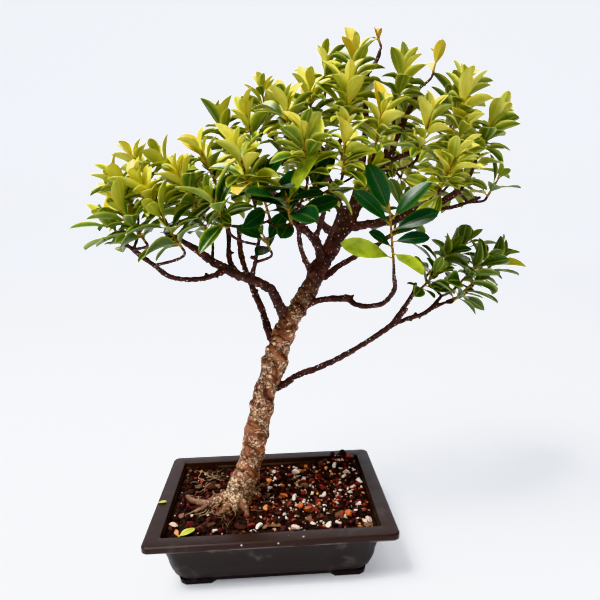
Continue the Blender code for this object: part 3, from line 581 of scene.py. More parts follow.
def scatter_grit(kind, number):
    """Lays the large grains one by one and strews the rest, thicker on the side they favour."""
    facts = GRIT[kind]
    draw = random.Random(410 + number)
    shapes = [grain_shape(draw) for _ in range(GRAIN_SHAPES)]
    low, high = facts["size"]
    copies, shades = [], []
    for x, y, size, shade in facts["laid"]:
        lift = 0.35 * size * MM * facts["flat"] + LAID_LIFT
        copies.append(set_grain(draw, shapes, facts["flat"], x * MM, y * MM, size * MM, lift))
        shades.append(shade)
    while len(copies) < facts["number"]:
        right = draw.random() < facts["right"]
        x = draw.uniform(GRIT_SPLIT, SOIL_HALF.x) if right else draw.uniform(-SOIL_HALF.x, GRIT_SPLIT)
        y = draw.uniform(-SOIL_HALF.y, SOIL_HALF.y)
        size = (low + (high - low) * draw.random() ** 1.8) * MM
        edge = max(GRAIN_EDGE, size * 0.62)
        if abs(x) > SOIL_HALF.x - edge or abs(y) > SOIL_HALF.y - edge:
            continue
        if (Vector((x, y)) - TRUNK_FOOT).length < FLARE_RADIUS:
            continue
        if (Vector((x, y)) - LEAF_SPOT).length < LEAF_SPOT_RADIUS and size > GRAIN_EDGE:
            continue
        lift = draw.uniform(0.05, 0.5) * size * facts["flat"]
        copies.append(set_grain(draw, shapes, facts["flat"], x, y, size, lift))
        shades.append(draw.random() ** 1.4)
    return join_copies(kind, copies, paint_grit(kind, facts["shades"], facts["rough"]), shades)


for number, kind in enumerate(GRIT):
    grit = scatter_grit(kind, number)

# The wood. The trunk leans to the right from a flared foot, and its thin bark swells in uneven
# rings. Branches, twigs and surface roots grow out of it as one body. The bark is tan below
# and a dark red-brown above, with pale dashes where it breathes.
TRUNK = [
    (-39, -13, 30, 12), (-39, -13, 50, 17), (-38, -13, 60, 16.5), (-33, -13, 80, 14),
    (-21, -12, 109, 12.9), (-13, -10, 141, 13.4), (-5, -8, 178, 12.4), (2, -7, 200, 12.9),
    (7, -7, 214, 13.8), (13, -6, 233, 12.2), (20, -5, 250, 12.2), (28, -4, 268, 11.2),
    (38, -3, 283, 9.8), (51, -2, 303, 9.2), (60, -1, 321, 9.4), (70, 0, 338, 8.6),
    (83, 2, 357, 8.8), (98, 5, 379, 7.6),
]
ROOTS = {
    "left": [
        (-41, -14, 72, 7), (-54, -15, 66, 5.4), (-64, -15, 62, 4.4), (-76, -13, 60, 3.6),
        (-90, -6, 60.5, 3), (-97, 2, 61.5, 2.2),
    ],
    "left_fork": [(-66, -15, 60.5, 3.2), (-80, -24, 58.5, 2.6), (-94, -32, 57.5, 1.6)],
    "front": [(-35, -20, 72, 6.0), (-30, -29, 65, 4.3), (-27, -38, 59.5, 3.0), (-25, -50, 55.5, 1.8)],
    "front_left": [(-42, -21, 67, 6.0), (-51, -29, 61, 3.7), (-58, -36, 58, 2.6), (-66, -44, 55.5, 1.6)],
    "right": [(-27, -9, 68, 6), (-18, -5, 61.5, 5), (-8, -1, 57.5, 3.8), (4, 2, 55.5, 2)],
    "back": [(-38, -3, 66, 6.5), (-43, 10, 59.5, 4.4), (-52, 26, 55.5, 2)],
}
BRANCHES = {
    "left_low": [
        (22, -6, 268, 6.5), (14, -12, 285, 5.6), (7, -16, 300, 5.2), (-7, -18, 309, 5),
        (-26, -20, 316, 4.9), (-51, -22, 331, 4.4), (-72, -26, 348, 3.4), (-95, -30, 361, 2.4),
    ],
    "left_inner": [
        (5, -4, 244, 4.4), (-4, 8, 274, 3.8), (-13, 16, 296, 3.5), (-20, 24, 315, 3.4),
        (-26, 32, 336, 3.2), (-27, 40, 364, 2.6),
    ],
    "left_upright": [(-26, -20, 316, 3.6), (-35, -10, 331, 3), (-36, 2, 358, 2.6), (-40, 8, 392, 2)],
    "left_twiggy": [(-13, -19, 312, 3), (-8, -32, 330, 2.2), (-4, -42, 348, 1.8), (-2, -50, 368, 1.5)],
    "left_far": [
        (-38, -21, 323, 3.4), (-52, -30, 317, 2.7), (-68, -35, 315, 2.5), (-90, -42, 319, 2.6),
        (-104, -46, 331, 2.2), (-121, -50, 347, 2), (-139, -50, 358, 1.7),
    ],
    "right_low": [
        (2, -8, 188, 4.6), (18, -14, 196, 3.8), (32, -22, 208, 3.5), (66, -30, 223, 3.2),
        (101, -34, 243, 2.9), (135, -36, 266, 2.9),
    ],
    "right_low_up": [(128, -36, 261, 2.6), (149, -38, 292, 2.3), (152, -40, 306, 1.9)],
    "right_low_fork": [(136, -36, 268, 2), (140, -41, 275, 1.8), (143, -45, 281, 1.6)],
    "right_low_end": [
        (128, -36, 262, 2.7), (148, -33, 268, 2.4), (168, -28, 273, 2.2), (186, -20, 288, 1.8),
    ],
    "right_low_far": [(166, -29, 273, 2.1), (190, -20, 281, 1.8), (212, -12, 286, 1.6)],
    "right_bow": [
        (44, -3, 280, 4.2), (61, -14, 287, 3.3), (85, -28, 290, 4.1), (90, -34, 286, 3),
        (103, -44, 284, 2.6), (117, -54, 289, 2.6), (124, -68, 304, 2.4), (121, -78, 317, 2.2),
    ],
    "right_back": [
        (63, 0, 308, 4), (80, 8, 319, 3.4), (102, 22, 329, 3.1), (131, 42, 340, 2.8),
        (160, 62, 356, 2.2),
    ],
    "middle_left": [(52, -2, 312, 3.8), (44, -14, 328, 2.9), (38, -25, 344, 2.7), (35, -40, 366, 2)],
    "middle": [(62, -2, 328, 5.4), (53, -20, 350, 4.6), (37, -34, 364, 3.4), (24, -48, 377, 2.2)],
    "middle_up": [(53, -20, 350, 3.2), (58, -34, 367, 2.6), (63, -44, 387, 2)],
    "middle_right": [(66, -2, 342, 3.2), (73, -16, 362, 2.4), (79, -28, 382, 1.8)],
    "right_high": [
        (86, 3, 362, 5.4), (104, -1, 363, 5), (130, -5, 367, 4.8), (162, -12, 377, 4.4),
        (194, -18, 391, 3.6), (212, -20, 410, 2.6),
    ],
    "right_high_low": [
        (170, -14, 380, 2.8), (186, -28, 379, 2.1), (203, -40, 384, 1.8), (214, -45, 389, 1.5),
    ],
    "leader": [
        (92, 4, 371, 6.6), (117, 6, 408, 5.6), (138, 4, 446, 4.6), (155, 1, 480, 3),
        (164, 0, 500, 2.2),
    ],
    "leader_right": [
        (126, 6, 424, 3.4), (148, -4, 434, 2.6), (172, -14, 440, 2.2), (196, -18, 446, 1.8),
    ],
    "leader_top": [
        (96, 4, 376, 5.6), (106, 12, 420, 4.4), (112, 14, 468, 3.2), (111, 11, 510, 2.5),
        (121, 8, 527, 2.3), (125, 6, 538, 2.2),
    ],
    "leader_left": [
        (88, 3, 366, 5.2), (77, 14, 398, 4.4), (63, 24, 438, 3.4), (60, 22, 474, 2.4),
        (62, 21, 486, 2),
    ],
    "back_left": [(76, 2, 352, 4.6), (52, 28, 378, 3.6), (20, 54, 398, 2.8), (-14, 74, 410, 2)],
    "back_right": [(100, 6, 384, 4.4), (124, 34, 402, 3.4), (146, 68, 416, 2.6), (164, 92, 424, 2)],
}
BARK_STEPS = 4
BARK_SIDES = 16
BARK_VOXEL = 1.08 * MM
TWIG_SIDES = 7
TWIG_STEPS = 9
TWIG_STRAIGHT = 3 * MM
TWIG_RADIUS = 1.35 * MM
TWIG_FOOT_RADIUS = 1.9 * MM
OLD_BARK_GIRTH = (8.0 * MM, 12.5 * MM)
TRUNK_TAN = (0.350, 0.142, 0.070)
TRUNK_BROWN = (0.140, 0.048, 0.026)
FLARE_GREY = (0.200, 0.142, 0.095)
ROOT_TAN = (0.210, 0.112, 0.070)
BRANCH_BROWN = (0.030, 0.014, 0.012)
BRANCH_RED = (0.080, 0.031, 0.025)
DASH_CREAM = (0.90, 0.62, 0.40)
DASH_GREY = (0.80, 0.70, 0.64)
CREASE_SHADE = (0.030, 0.011, 0.007)
OLD_BARK_TOP = 334 * MM
OLD_BARK_FADE = 70 * MM
PLATES = 205.0
BARK_CLOUDS = ((95.0, 3.0), (900.0, 4.0), (260.0, 2.0), (55.0, 2.0))
BARK_DOTS = ((320.0, 0.175), (190.0, 0.110))
STUBS = 60


def follow(points, steps):
    """Stations along a route in millimetres, on a smooth curve: their places and radii."""
    stops = [(POT_AT + Vector(p[:3]) * MM, p[3] * MM) for p in points]
    stations = []
    for k in range(len(stops) - 1):
        before = stops[max(k - 1, 0)]
        after = stops[min(k + 2, len(stops) - 1)]
        a, b = stops[k], stops[k + 1]
        for step in range(steps):
            t = step / steps
            slope_a = (b[0] - before[0]) / 2
            slope_b = (after[0] - a[0]) / 2
            place = (
                a[0] * (2 * t**3 - 3 * t**2 + 1)
                + slope_a * (t**3 - 2 * t**2 + t)
                + b[0] * (3 * t**2 - 2 * t**3)
                + slope_b * (t**3 - t**2)
            )
            stations.append((place, a[1] + (b[1] - a[1]) * t))
    stations.append(stops[-1])
    return stations


def square_to(face, along):
    """That direction, turned until it is square to another."""
    return (face - along * face.dot(along)).normalized()


def frames_of(stations):
    """For each station its place, direction, two cross directions, radius and distance along."""
    last = len(stations) - 1
    ahead = []
    for i in range(last + 1):
        ahead.append((stations[min(i + 1, last)][0] - stations[max(i - 1, 0)][0]).normalized())
    across = ahead[0].orthogonal().normalized()
    rows, travelled = [], 0.0
    for i, (place, radius) in enumerate(stations):
        across = square_to(across, ahead[i])
        if i:
            travelled += (place - stations[i - 1][0]).length
        rows.append((place, ahead[i], across.copy(), ahead[i].cross(across), radius, travelled))
    return rows


def tube(rows, sides):
    """Points, faces and bark places of a closed tube through its frames."""
    points, faces, places = [], [], []
    for place, ahead, across, other, radius, travelled in rows:
        for s in range(sides):
            angle = math.tau * (s + 0.5) / sides
            points.append(place + (across * math.cos(angle) + other * math.sin(angle)) * radius)
            places.append((radius * math.cos(angle), radius * math.sin(angle), travelled))
    for level in range(len(rows) - 1):
        for s in range(sides):
            a, b = level * sides + s, level * sides + (s + 1) % sides
            faces.append((a, b, b + sides, a + sides))
    faces.append(tuple(reversed(range(sides))))
    faces.append(tuple(range((len(rows) - 1) * sides, len(rows) * sides)))
    return points, faces, places


def remesh_limbs(limbs):
    """All trunk, branch and root tubes melted into one skin, as living wood joins."""
    copies = []
    for rows in limbs:
        points, faces, _ = tube(rows, BARK_SIDES)
        copies.append((np.array(points), faces))
    points, faces = merge(copies)
    wood = start_piece("wood_and_bark")
    bpy.ops.object.mode_set(mode="OBJECT")
    wood.data.from_pydata(points.tolist(), [], faces)
    melting = wood.modifiers.new("melt", "REMESH")
    melting.mode = "VOXEL"
    melting.voxel_size = BARK_VOXEL
    easing = wood.modifiers.new("ease", "SMOOTH")
    easing.factor = 0.5
    easing.iterations = 6
    apply_all(wood)
    return wood


def bark_places(points, limbs):
    """For each point of the skin, its place on a straightened limb, and that limb's radius there."""
    rows = [(*row, index) for index, limb in enumerate(limbs) for row in limb]
    place, ahead, across, other, radius, travelled, limb_number = (np.array(column) for column in zip(*rows))
    travelled = travelled + 0.37 * limb_number
    result = np.zeros((len(points), 3))
    girth = np.zeros(len(points))
    owner = np.zeros(len(points), int)
    for first in range(0, len(points), 3000):
        block = points[first:first + 3000]
        away = block[:, None, :] - place[None, :, :]
        near = np.argmin(np.linalg.norm(away, axis=2) - radius, axis=1)
        step = away[np.arange(len(block)), near]
        u = np.einsum("ij,ij->i", step, across[near])
        v = np.einsum("ij,ij->i", step, other[near])
        size = np.maximum(np.hypot(u, v), 1e-6)
        r = radius[near]
        result[first:first + 3000] = np.stack(
            [u / size * r, v / size * r, travelled[near] + np.einsum("ij,ij->i", step, ahead[near])], axis=1
        )
        girth[first:first + 3000] = r
        owner[first:first + 3000] = limb_number[near]
    return result, girth, owner


def wrinkle(wood, places, girth):
    """Raises the bark's knuckles, slanting folds and wrinkles; returns the knuckles and the folds."""
    mesh = wood.data
    count = len(mesh.vertices)
    points, normals = np.zeros((count, 3)), np.zeros((count, 3))
    for name, values in (("co", points), ("normal", normals)):
        mesh.vertices.foreach_get(name, values.ravel())
    lift = np.zeros(count)
    form = np.zeros((count, 3))
    for i in range(count):
        x, y, z = places[i] / MM
        thickness = girth[i] / MM
        share = min(1.0, thickness / 10)
        ring = noise.noise(Vector((x / 28, y / 28, (z + 0.6 * x) / (4.5 + 0.55 * thickness))))
        bulge = noise.noise(Vector((x / 13, y / 13, z / 14 + 40)))
        fine = noise.noise(Vector((x / 3.0, y / 3.0, (z + 0.5 * x) / 1.9 + 90)))
        pinch = noise.noise(Vector((x / 24, y / 24, (z + 0.8 * x) / 7.0 + 200)))
        fold = math.exp(-((pinch / 0.075) ** 2))
        lift[i] = (2.8 * ring + 1.8 * bulge - 1.3 * fold + 0.6 * fine) * share + 0.16 * fine + 0.3
        form[i] = (ring + 0.5 * bulge, fold * share, 0.0)
    points += normals * lift[:, None] * MM
    mesh.vertices.foreach_set("co", points.astype(np.float32).ravel())
    mesh.update()
    return form


def give_bark(piece, places, old, form=None):
    """Stores, at each point, its own place on the bark, the bark's age, and its knuckles and folds."""
    store(piece.data, "bark_place", places)
    store(piece.data, "old_bark", old)
    store(piece.data, "bark_form", np.zeros((len(old), 3)) if form is None else form)


def paint_bark():
    """Brown bark: pale cracked plates and dashes on the trunk, painted shade in its folds and between
    crowded plates, and white dots on branches.
    """
    material, _ = new_material("ficus_bark")
    place = attribute_of(material, "bark_place", "Vector")
    form = attribute_of(material, "bark_form", "Vector")
    old = attribute_of(material, "old_bark")
    knuckle, fold, root = (along_axis(form, axis) for axis in "XYZ")
    foot = band(along_axis(place, "Z"), 0.080, 0.045)
    patches, fine, warp, crowd = (clouds(place, scale, detail, 0.6) for scale, detail in BARK_CLOUDS)
    patchy = band(patches, 0.38, 0.62)
    trunk_colour = blend(foot * 0.7, blend(patchy, TRUNK_BROWN, TRUNK_TAN), FLARE_GREY)
    trunk_colour = blend(root, trunk_colour, ROOT_TAN)
    brown = blend(old, blend(patchy, BRANCH_BROWN, BRANCH_RED), trunk_colour)
    brown = blend(fine, brown, (0.5, 0.5, 0.5), "OVERLAY")
    crowded = reckon("MAXIMUM", band(crowd - knuckle * 0.30, 0.43, 0.53), foot)
    bent = blend(0.0036, place, warp["Color"], "LINEAR_LIGHT")
    tilted = add_node(place.tree, "ShaderNodeMapping", {"Vector": bent, "Rotation": (0.0, 0.5, 0.0)})
    squeezed = add_node(place.tree, "ShaderNodeMapping", {"Vector": tilted, "Scale": (1.0, 1.0, 2.3)})
    inputs = {"Vector": squeezed, "Scale": PLATES, "Randomness": 1.0}
    gap = add_node(place.tree, "ShaderNodeTexVoronoi", inputs, "Distance", feature="DISTANCE_TO_EDGE")
    _, chance = cells(squeezed, PLATES)
    plates = band(gap, 0.06, 0.18) * reckon("LESS_THAN", chance, crowded * 0.82 + 0.16)
    plates = plates * band(old - root, 0.05, 0.50)
    # Painted shade: the folds pressed into the skin, and the gaps where plates crowd on old bark, are
    # darkened.
    crease_shade = reckon("MAXIMUM", fold, crowded * old * 0.45)
    colour = blend(crease_shade * 0.80, brown, CREASE_SHADE)
    uneven = chance * (0.80 - foot * 0.45)
    worn = reckon("MULTIPLY", fine * 0.8 + 0.66, 1.10 - uneven, clamp=True)
    colour = blend(plates * worn, colour, DASH_CREAM)
    colour = blend(fold * 0.6, colour, CREASE_SHADE)
    raised = plates
    for scale, reach in BARK_DOTS:
        distance, chance = cells(place, scale)
        dot = band((chance + 0.45) * reach - distance, -0.02, 0.05) * (1.0 - old * 0.75)
        colour = blend(dot * 0.9, colour, DASH_GREY)
        raised = reckon("MAXIMUM", raised, dot)
    return finish_paint(material, colour, (raised * 0.7 + fine * 0.5, 1.0, 0.0014), 0.60)


def stub_frames(limb, draw):
    """A knot on a branch: the short stump of a twig that was cut, at a random place on it."""
    place, ahead, across, other, radius, _ = limb[draw.randrange(3, len(limb) - 2)]
    angle = draw.uniform(0, math.tau)
    out = (across * math.cos(angle) + other * math.sin(angle) + ahead * draw.uniform(0.0, 0.9)).normalized()
    thick = draw.uniform(0.9, 1.7) * MM
    length = radius + draw.uniform(0.8, 4.5) * MM
    return frames_of([(place + out * length * step / 3, thick * (1.25 - 0.12 * step)) for step in range(4)])


limbs = {"trunk": frames_of(follow(TRUNK, BARK_STEPS))}
for name, points in {**ROOTS, **BRANCHES}.items():
    limbs[name] = frames_of(follow(points, BARK_STEPS))
stub_draw = random.Random(61)
for stub in range(STUBS):
    branch = stub_draw.choice([name for name in BRANCHES if len(limbs[name]) > 9])
    limbs[f"stub_{stub}"] = stub_frames(limbs[branch], stub_draw)
wood = remesh_limbs(list(limbs.values()))
skin = np.array([v.co for v in wood.data.vertices])
wood_places, wood_girth, wood_owner = bark_places(skin, list(limbs.values()))
wood_form = wrinkle(wood, wood_places, wood_girth)
thin, thick = OLD_BARK_GIRTH
wood_old = np.clip((wood_girth - thin) / (thick - thin), 0, 1)
wood_old *= np.clip((OLD_BARK_TOP - skin[:, 2]) / OLD_BARK_FADE, 0, 1)
of_root = (wood_owner >= 1) & (wood_owner <= len(ROOTS))
wood_old[of_root] = 0.9
wood_form[of_root, 2] = np.clip(1.3 - wood_girth[of_root] / (6 * MM), 0, 1)
give_bark(wood, wood_places, wood_old, wood_form)
wood.data.shade_smooth()
bark = paint_bark()
wood.data.materials.append(bark)
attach(wood, "root")
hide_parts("wood")

# The fine roots. Wiry, pale brown, they creep over the soil round the trunk's foot, thickest
# on the left where the soil has washed off them, with a tangle of them behind.
FINE_ROOTS = 60
ROOT_STEP = 3.0 * MM
ROOT_TANGLE = Vector((-74 * MM, 44 * MM))
ROOT_PALE = (0.46, 0.32, 0.21)
ROOT_DARK = (0.14, 0.080, 0.050)


def creep(draw, start, heading, steps, radius):
    """A thin root's stations: it wanders over the soil and dips under here and there."""
    spot = Vector(start)
    stations = []
    for step in range(steps):
        share = step / steps
        ride_up = 1.6 * MM + 2.2 * MM * noise.noise(Vector((step * 0.37, radius * 4000, start[0] * 900)))
        ride_up += 0.7 * max(0.0, 22 * MM - (spot - TRUNK_FOOT).length)
        height = soil_height(spot.x, spot.y) + ride_up
        stations.append((POT_AT + Vector((spot.x, spot.y, height)), radius * (1 - 0.7 * share)))
        heading += draw.uniform(-0.6, 0.6)
        ahead = spot + Vector((math.cos(heading), math.sin(heading))) * ROOT_STEP
        if abs(ahead.x) > SOIL_HALF.x - 3 * MM or abs(ahead.y) > SOIL_HALF.y - 3 * MM:
            break
        spot = ahead
    return stations


def grow_fine_roots():
    """The fine roots and a shade for each."""
    draw = random.Random(77)
    copies, shades = [], []
    while len(copies) < FINE_ROOTS:
        to_left = draw.gauss(math.pi, 0.75), draw.gauss(math.pi, 0.6)
        heading = draw.choice((*to_left, draw.uniform(0, math.tau)))
        away = draw.uniform(0.3, 1.0) * 34 * MM if draw.random() < 0.4 else FLARE_RADIUS * 0.85
        start = TRUNK_FOOT + Vector((math.cos(heading), math.sin(heading))) * away
        if draw.random() < 0.3:
            start = ROOT_TANGLE + Vector((draw.gauss(0, 8), draw.gauss(0, 6))) * MM
        radius = draw.choice((0.40, 0.50, 0.65, 0.9)) * MM
        stations = creep(draw, start, heading + draw.uniform(-0.9, 0.9), draw.randrange(6, 19), radius)
        if len(stations) < 5:
            continue
        points, faces, _ = tube(frames_of(stations), 5)
        copies.append((np.array(points), faces))
        shades.append(draw.random())
    return copies, shades


root_copies, root_shades = grow_fine_roots()
root_skin = paint_grit("root_skin", (ROOT_DARK, ROOT_PALE), 0.8)
fine_roots = join_copies("fine_roots", root_copies, root_skin, root_shades)
fine_roots.data.shade_smooth()

# The leafy shoots. Each is a young stem with its bud and a spiral of glossy leaves: folded
# along a pale midrib, curled back at the tip, on short yellow stalks. Every leaf of the
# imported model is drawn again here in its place, and smaller ones fill in between.
LEAF_KINDS = {
    "leaf_young": {"fold": 0.50, "curl": 0.24, "width": 0.215, "least": 0.64},
    "leaf_mature": {"fold": 0.36, "curl": 0.22, "width": 0.240, "least": 0.83},
    "leaf_dark": {"fold": 0.22, "curl": 0.22, "width": 0.200},
}
LEAF_ROWS = (0.0, 0.12, 0.23, 0.38, 0.55, 0.71, 0.84, 0.94, 1.0)
LEAF_COLUMNS = (-1.0, -0.55, 0.0, 0.55, 1.0)
LEAF_STALK = 0.13
STALK_RADIUS = 0.55 * MM
LEAF_THICKNESS = 0.4 * MM
PLATE_THICKNESS = 0.7 * MM


def read_shoot(node):
    """The leaves of a packed shoot, found from its mesh, with its stem's start, end and line."""
    mesh = bmesh.new()
    mesh.from_mesh(node.data)
    bmesh.ops.remove_doubles(mesh, verts=mesh.verts, dist=0.01 * MM)
    partner = {}
    for edge in mesh.edges:
        if edge.calc_length() < PLATE_THICKNESS * 1.06:
            a, b = edge.verts
            partner[a], partner[b] = b, a
    stem = np.array([v.co for v in mesh.verts if v not in partner])
    middle = stem.mean(axis=0)
    line = np.linalg.svd(stem - middle)[2][0]
    line = line if line[2] > 0 else -line
    along = (stem - middle) @ line
    start, end = (Vector(middle + line * reach) for reach in (along.min(), along.max()))
    leaves, seen = [], set()
    for vert in partner:
        if vert in seen:
            continue
        group, waiting = [], [vert]
        seen.add(vert)
        while waiting:
            here = waiting.pop()
            group.append(here)
            for edge in here.link_edges:
                other = edge.other_vert(here)
                if other in partner and other not in seen:
                    seen.add(other)
                    waiting.append(other)
        seats = {e.other_vert(v) for v in group for e in v.link_edges if e.other_vert(v) not in partner}
        root = sum((v.co for v in seats), Vector()) / len(seats)
        pairs = {frozenset((v, partner[v])) for v in group}
        middles = [sum((v.co for v in pair), Vector()) / 2 for pair in pairs]
        middles.sort(key=lambda middle: (middle - root).length)
        leaves.append((root, *middles))
    mesh.free()
    leaves.sort(key=lambda leaf: (leaf[0] - start).dot(Vector(line)))
    return leaves, start, end, Vector(line)


def leaf_frame(leaf, kind):
    """Root, direction, face, length and half-width of a leaf, from the points of its plate."""
    root, low_a, low_b, _, _, tip = leaf
    side = low_a - low_b
    half = side.length / 2 / 0.88
    lifted = (low_a + low_b) / 2 - root - (tip - root) * 0.36
    face = lifted.normalized()
    length = (tip - root).length
    along = (tip - root + face * kind["curl"] * length).normalized()
    face = square_to(face, along)
    return root, along, face, length, half


def leaf_width(t, blunt):
    """Share of the greatest half-width along a leaf: a stalk, then a long oval with a short point."""
    if t <= LEAF_STALK:
        return 0.0
    u = (t - LEAF_STALK) / (1 - LEAF_STALK)
    base, end = 0.80 + 0.15 * blunt, 0.82 - 0.32 * blunt
    peak = base / (base + end)
    return (u / peak) ** base * ((1 - u) / (1 - peak)) ** end


def draw_leaf(frame_of_leaf, fold, curl, blunt, twist, wave):
    """Points of one finished leaf: a grid above, the same below, closed round the edge."""
    root, along, face, length, half = frame_of_leaf
    side = along.cross(face)
    points = []
    for above in (0.5, -0.5):
        for t in LEAF_ROWS:
            width = max(leaf_width(t, blunt) * half, STALK_RADIUS * (1 if t < 0.9 else 0.35))
            stalk = t <= LEAF_STALK
            thick = 2 * STALK_RADIUS if stalk else LEAF_THICKNESS
            turned = side * math.cos(twist * t) + face * math.sin(twist * t)
            normal = face * math.cos(twist * t) - side * math.sin(twist * t)
            middle = root + along * length * (t - 0.06 * curl * t * t) - face * curl * t**2 * length
            for c in LEAF_COLUMNS:
                rise = 0.0 if stalk else fold * abs(c) ** 1.25 * width
                rise += 0.0 if stalk else wave * math.sin(9 * t + 2.0 * c) * abs(c) * half
                points.append(middle + turned * c * width + normal * (rise + above * thick))
    return np.array(points)


def leaf_grid():
    """Faces of a leaf, with the place on the blade and the side of every point."""
    rows, columns = len(LEAF_ROWS), len(LEAF_COLUMNS)
    under = rows * columns
    faces = []
    for r in range(rows - 1):
        for c in range(columns - 1):
            a = r * columns + c
            faces.append((a, a + columns, a + columns + 1, a + 1))
            faces.append((under + a + 1, under + a + columns + 1, under + a + columns, under + a))
        left, right = r * columns, r * columns + columns - 1
        faces.append((left, under + left, under + left + columns, left + columns))
        faces.append((right + columns, under + right + columns, under + right, right))
    for r in (0, rows - 1):
        edge = [r * columns + c for c in range(columns)]
        ring = edge + [under + i for i in reversed(edge)]
        faces.append(tuple(ring if r == 0 else reversed(ring)))
    places = [((c + 1) / 2, t) for _ in (0, 1) for t in LEAF_ROWS for c in LEAF_COLUMNS]
    backs = [0.0] * under + [1.0] * under
    return faces, places, backs


LEAF_FACES, LEAF_PLACES, LEAF_BACKS = leaf_grid()
LEAF_TOP = [face for face in LEAF_FACES if max(face) < len(LEAF_PLACES) // 2]

# How green, 0, or yellow, 1, the leaves are: by kind, with their spread, and one by one where an
# old leaf hangs yellow or the dark tuft in front carries two that are still light.
KIND_TONE = {"leaf_young": (0.49, 0.36), "leaf_mature": (0.17, 0.24), "leaf_dark": (0.05, 0.08)}
TONE_RISE = 0.46
DEEP_SHARE = 0.24
DEEP_STEP = 0.46
YELLOW_FROM = 0.68
OWN_TONES = {
    "bow_dark": {0: 0.60, 1: 0.59, 4: 0.20, 7: 0.22},
    "top_bud": {0: 0.95, 1: 1.0, 2: 0.90, 3: 0.72},
    "under_middle_dark": {6: 0.56, 0: 0.22},
    "centre_left_front": {1: 0.86},
    "far_left_tip": {6: 0.80},
    "far_left_front": {5: 0.66},
    "top_left_front": {6: 0.96, 8: 0.76},
    "top_right_leaf": {1: 0.90},
    "mid_right_front": {6: 0.90},
    "left_edge": {3: 0.82, 1: 0.66},
    "left_inner": {5: 0.80},
    "mid_front": {5: 0.80},
    "mid_left_top": {2: 0.80},
    "right_peak": {1: 0.80, 2: 0.67},
    "right_front": {3: 0.64},
    "right_front_low": {2: 0.67, 4: 0.64},
    "far_right_low": {0: 0.74},
    "low_right_far": {7: 0.72},
}
SHOOT_TONES = {
    "far_left_tip": 0.10, "far_left_front": 0.20, "left_front": 0.24, "left_under": 0.10,
    "left_low_front": 0.12, "left_crest": 0.08, "left_shoulder": 0.08, "left_mid": 0.08,
    "centre_left": 0.08, "centre_left_front": 0.08, "low_right_upper": -0.12,
    "low_right_front": -0.18, "low_right_far": -0.12, "low_right_back": -0.18,
    "low_right_inner": -0.18, "low_right_under": -0.20, "top_left": -0.08, "top_middle": -0.08,
    "right_front": -0.06, "right_mid": -0.06, "right_inner": -0.08, "far_right": -0.04,
}
POSED_SHOOTS = ("bow_dark", "top_bud")
TIP_LEAVES = 6
EXTRA_LEAVES = {"leaf_young": 17, "leaf_mature": 8, "leaf_dark": 5}
TWIG_LEAVES = 4
TWIG_LEAVES_FROM = 392 * MM
OWN_SIZES = {
    ("bow_dark", 0): (0.88, 0.80), ("bow_dark", 1): (0.95, 1.25), ("bow_dark", 3): (0.95, 0.95),
    ("bow_dark", 4): (0.90, 0.80), ("bow_dark", 5): (0.93, 0.86), ("bow_dark", 6): (1.0, 0.82),
    ("bow_dark", 7): (1.0, 0.90), ("bow_dark", 8): (1.0, 1.15), ("top_left_front", 6): (0.76, 0.92),
    ("under_middle_dark", 2): (0.8, 0.9), ("under_middle_dark", 1): (0.72, 0.85),
    ("under_left_dark", 1): (0.75, 0.85), ("under_left_dark", 0): (0.8, 0.9),
    ("mid_right_low", 1): (0.72, 0.60),
}
DARK_WIDER = 1.18
YELLOW_SIZE = (0.88, 0.98)
LEAF_SHADES = {
    "young": ((0.030, 0.090, 0.012), (0.345, 0.372, 0.040), (0.83, 0.74, 0.130)),
    "mature": ((0.011, 0.048, 0.012), (0.098, 0.170, 0.022), (0.51, 0.49, 0.058)),
    "dark": ((0.004, 0.026, 0.012), (0.012, 0.058, 0.016), (0.34, 0.40, 0.035)),
}
LEAF_FINISH = {
    "young": (0.27, 0.44, 0.40, 0.42),
    "mature": (0.26, 0.34, 0.28, 0.32),
    "dark": (0.24, 0.05, 0.14, 0.20),
}
LEAF_GOLD = (0.64, 0.44, 0.024)
LEAF_OLD = (0.62, 0.29, 0.012)
LEAF_BENEATH_SHADED = (0.12, 0.150, 0.045)
VEIN_PALE = (0.70, 0.70, 0.15)
STALK_OCHRE = (0.46, 0.30, 0.025)
STEM_BROWN = (0.090, 0.036, 0.014)
STEM_OCHRE = (0.34, 0.20, 0.030)
STEM_SIDES = 7
FRONT_TURN = 0.65
FEWER_LEAVES = {
    "bow_dark": 0, "top_bud": 0, "top_right_leaf": 2, "far_right_low": 2, "twiggy_tip": 5,
    "mid_right_front": 20, "mid_right_low": 20, "right_front": 20,
}


def leaf_marks():
    """Node group: masks for a leaf's midrib, side veins, margin and base, and its blotches."""
    group = bpy.data.node_groups.new("leaf_marks", "ShaderNodeTree")
    group.interface.new_socket("Place", in_out="INPUT", socket_type="NodeSocketVector")
    blotch = clouds(add_node(group, "NodeGroupInput", output="Place"), 90.0, 3.0, 0.55)
    place = add_node(group, "ShaderNodeUVMap", uv_map="blade")
    along = along_axis(place, "Y")
    across = reckon("ABSOLUTE", along_axis(place, "X") - 0.5)
    ripple = reckon("SINE", along * 95.0 - across * 40.0)
    masks = {
        "Midrib": band(across, 0.060, 0.025),
        "Veins": band(ripple, 0.55, 1.0),
        "Outer": band(across, 0.20, 0.47),
        "Margin": band(across, 0.385, 0.455),
        "Base": band(along, 0.20, 0.07),
        "Blotch": blotch,
    }
    put_out(group, masks)
    return group


LEAF_MARKS = leaf_marks()


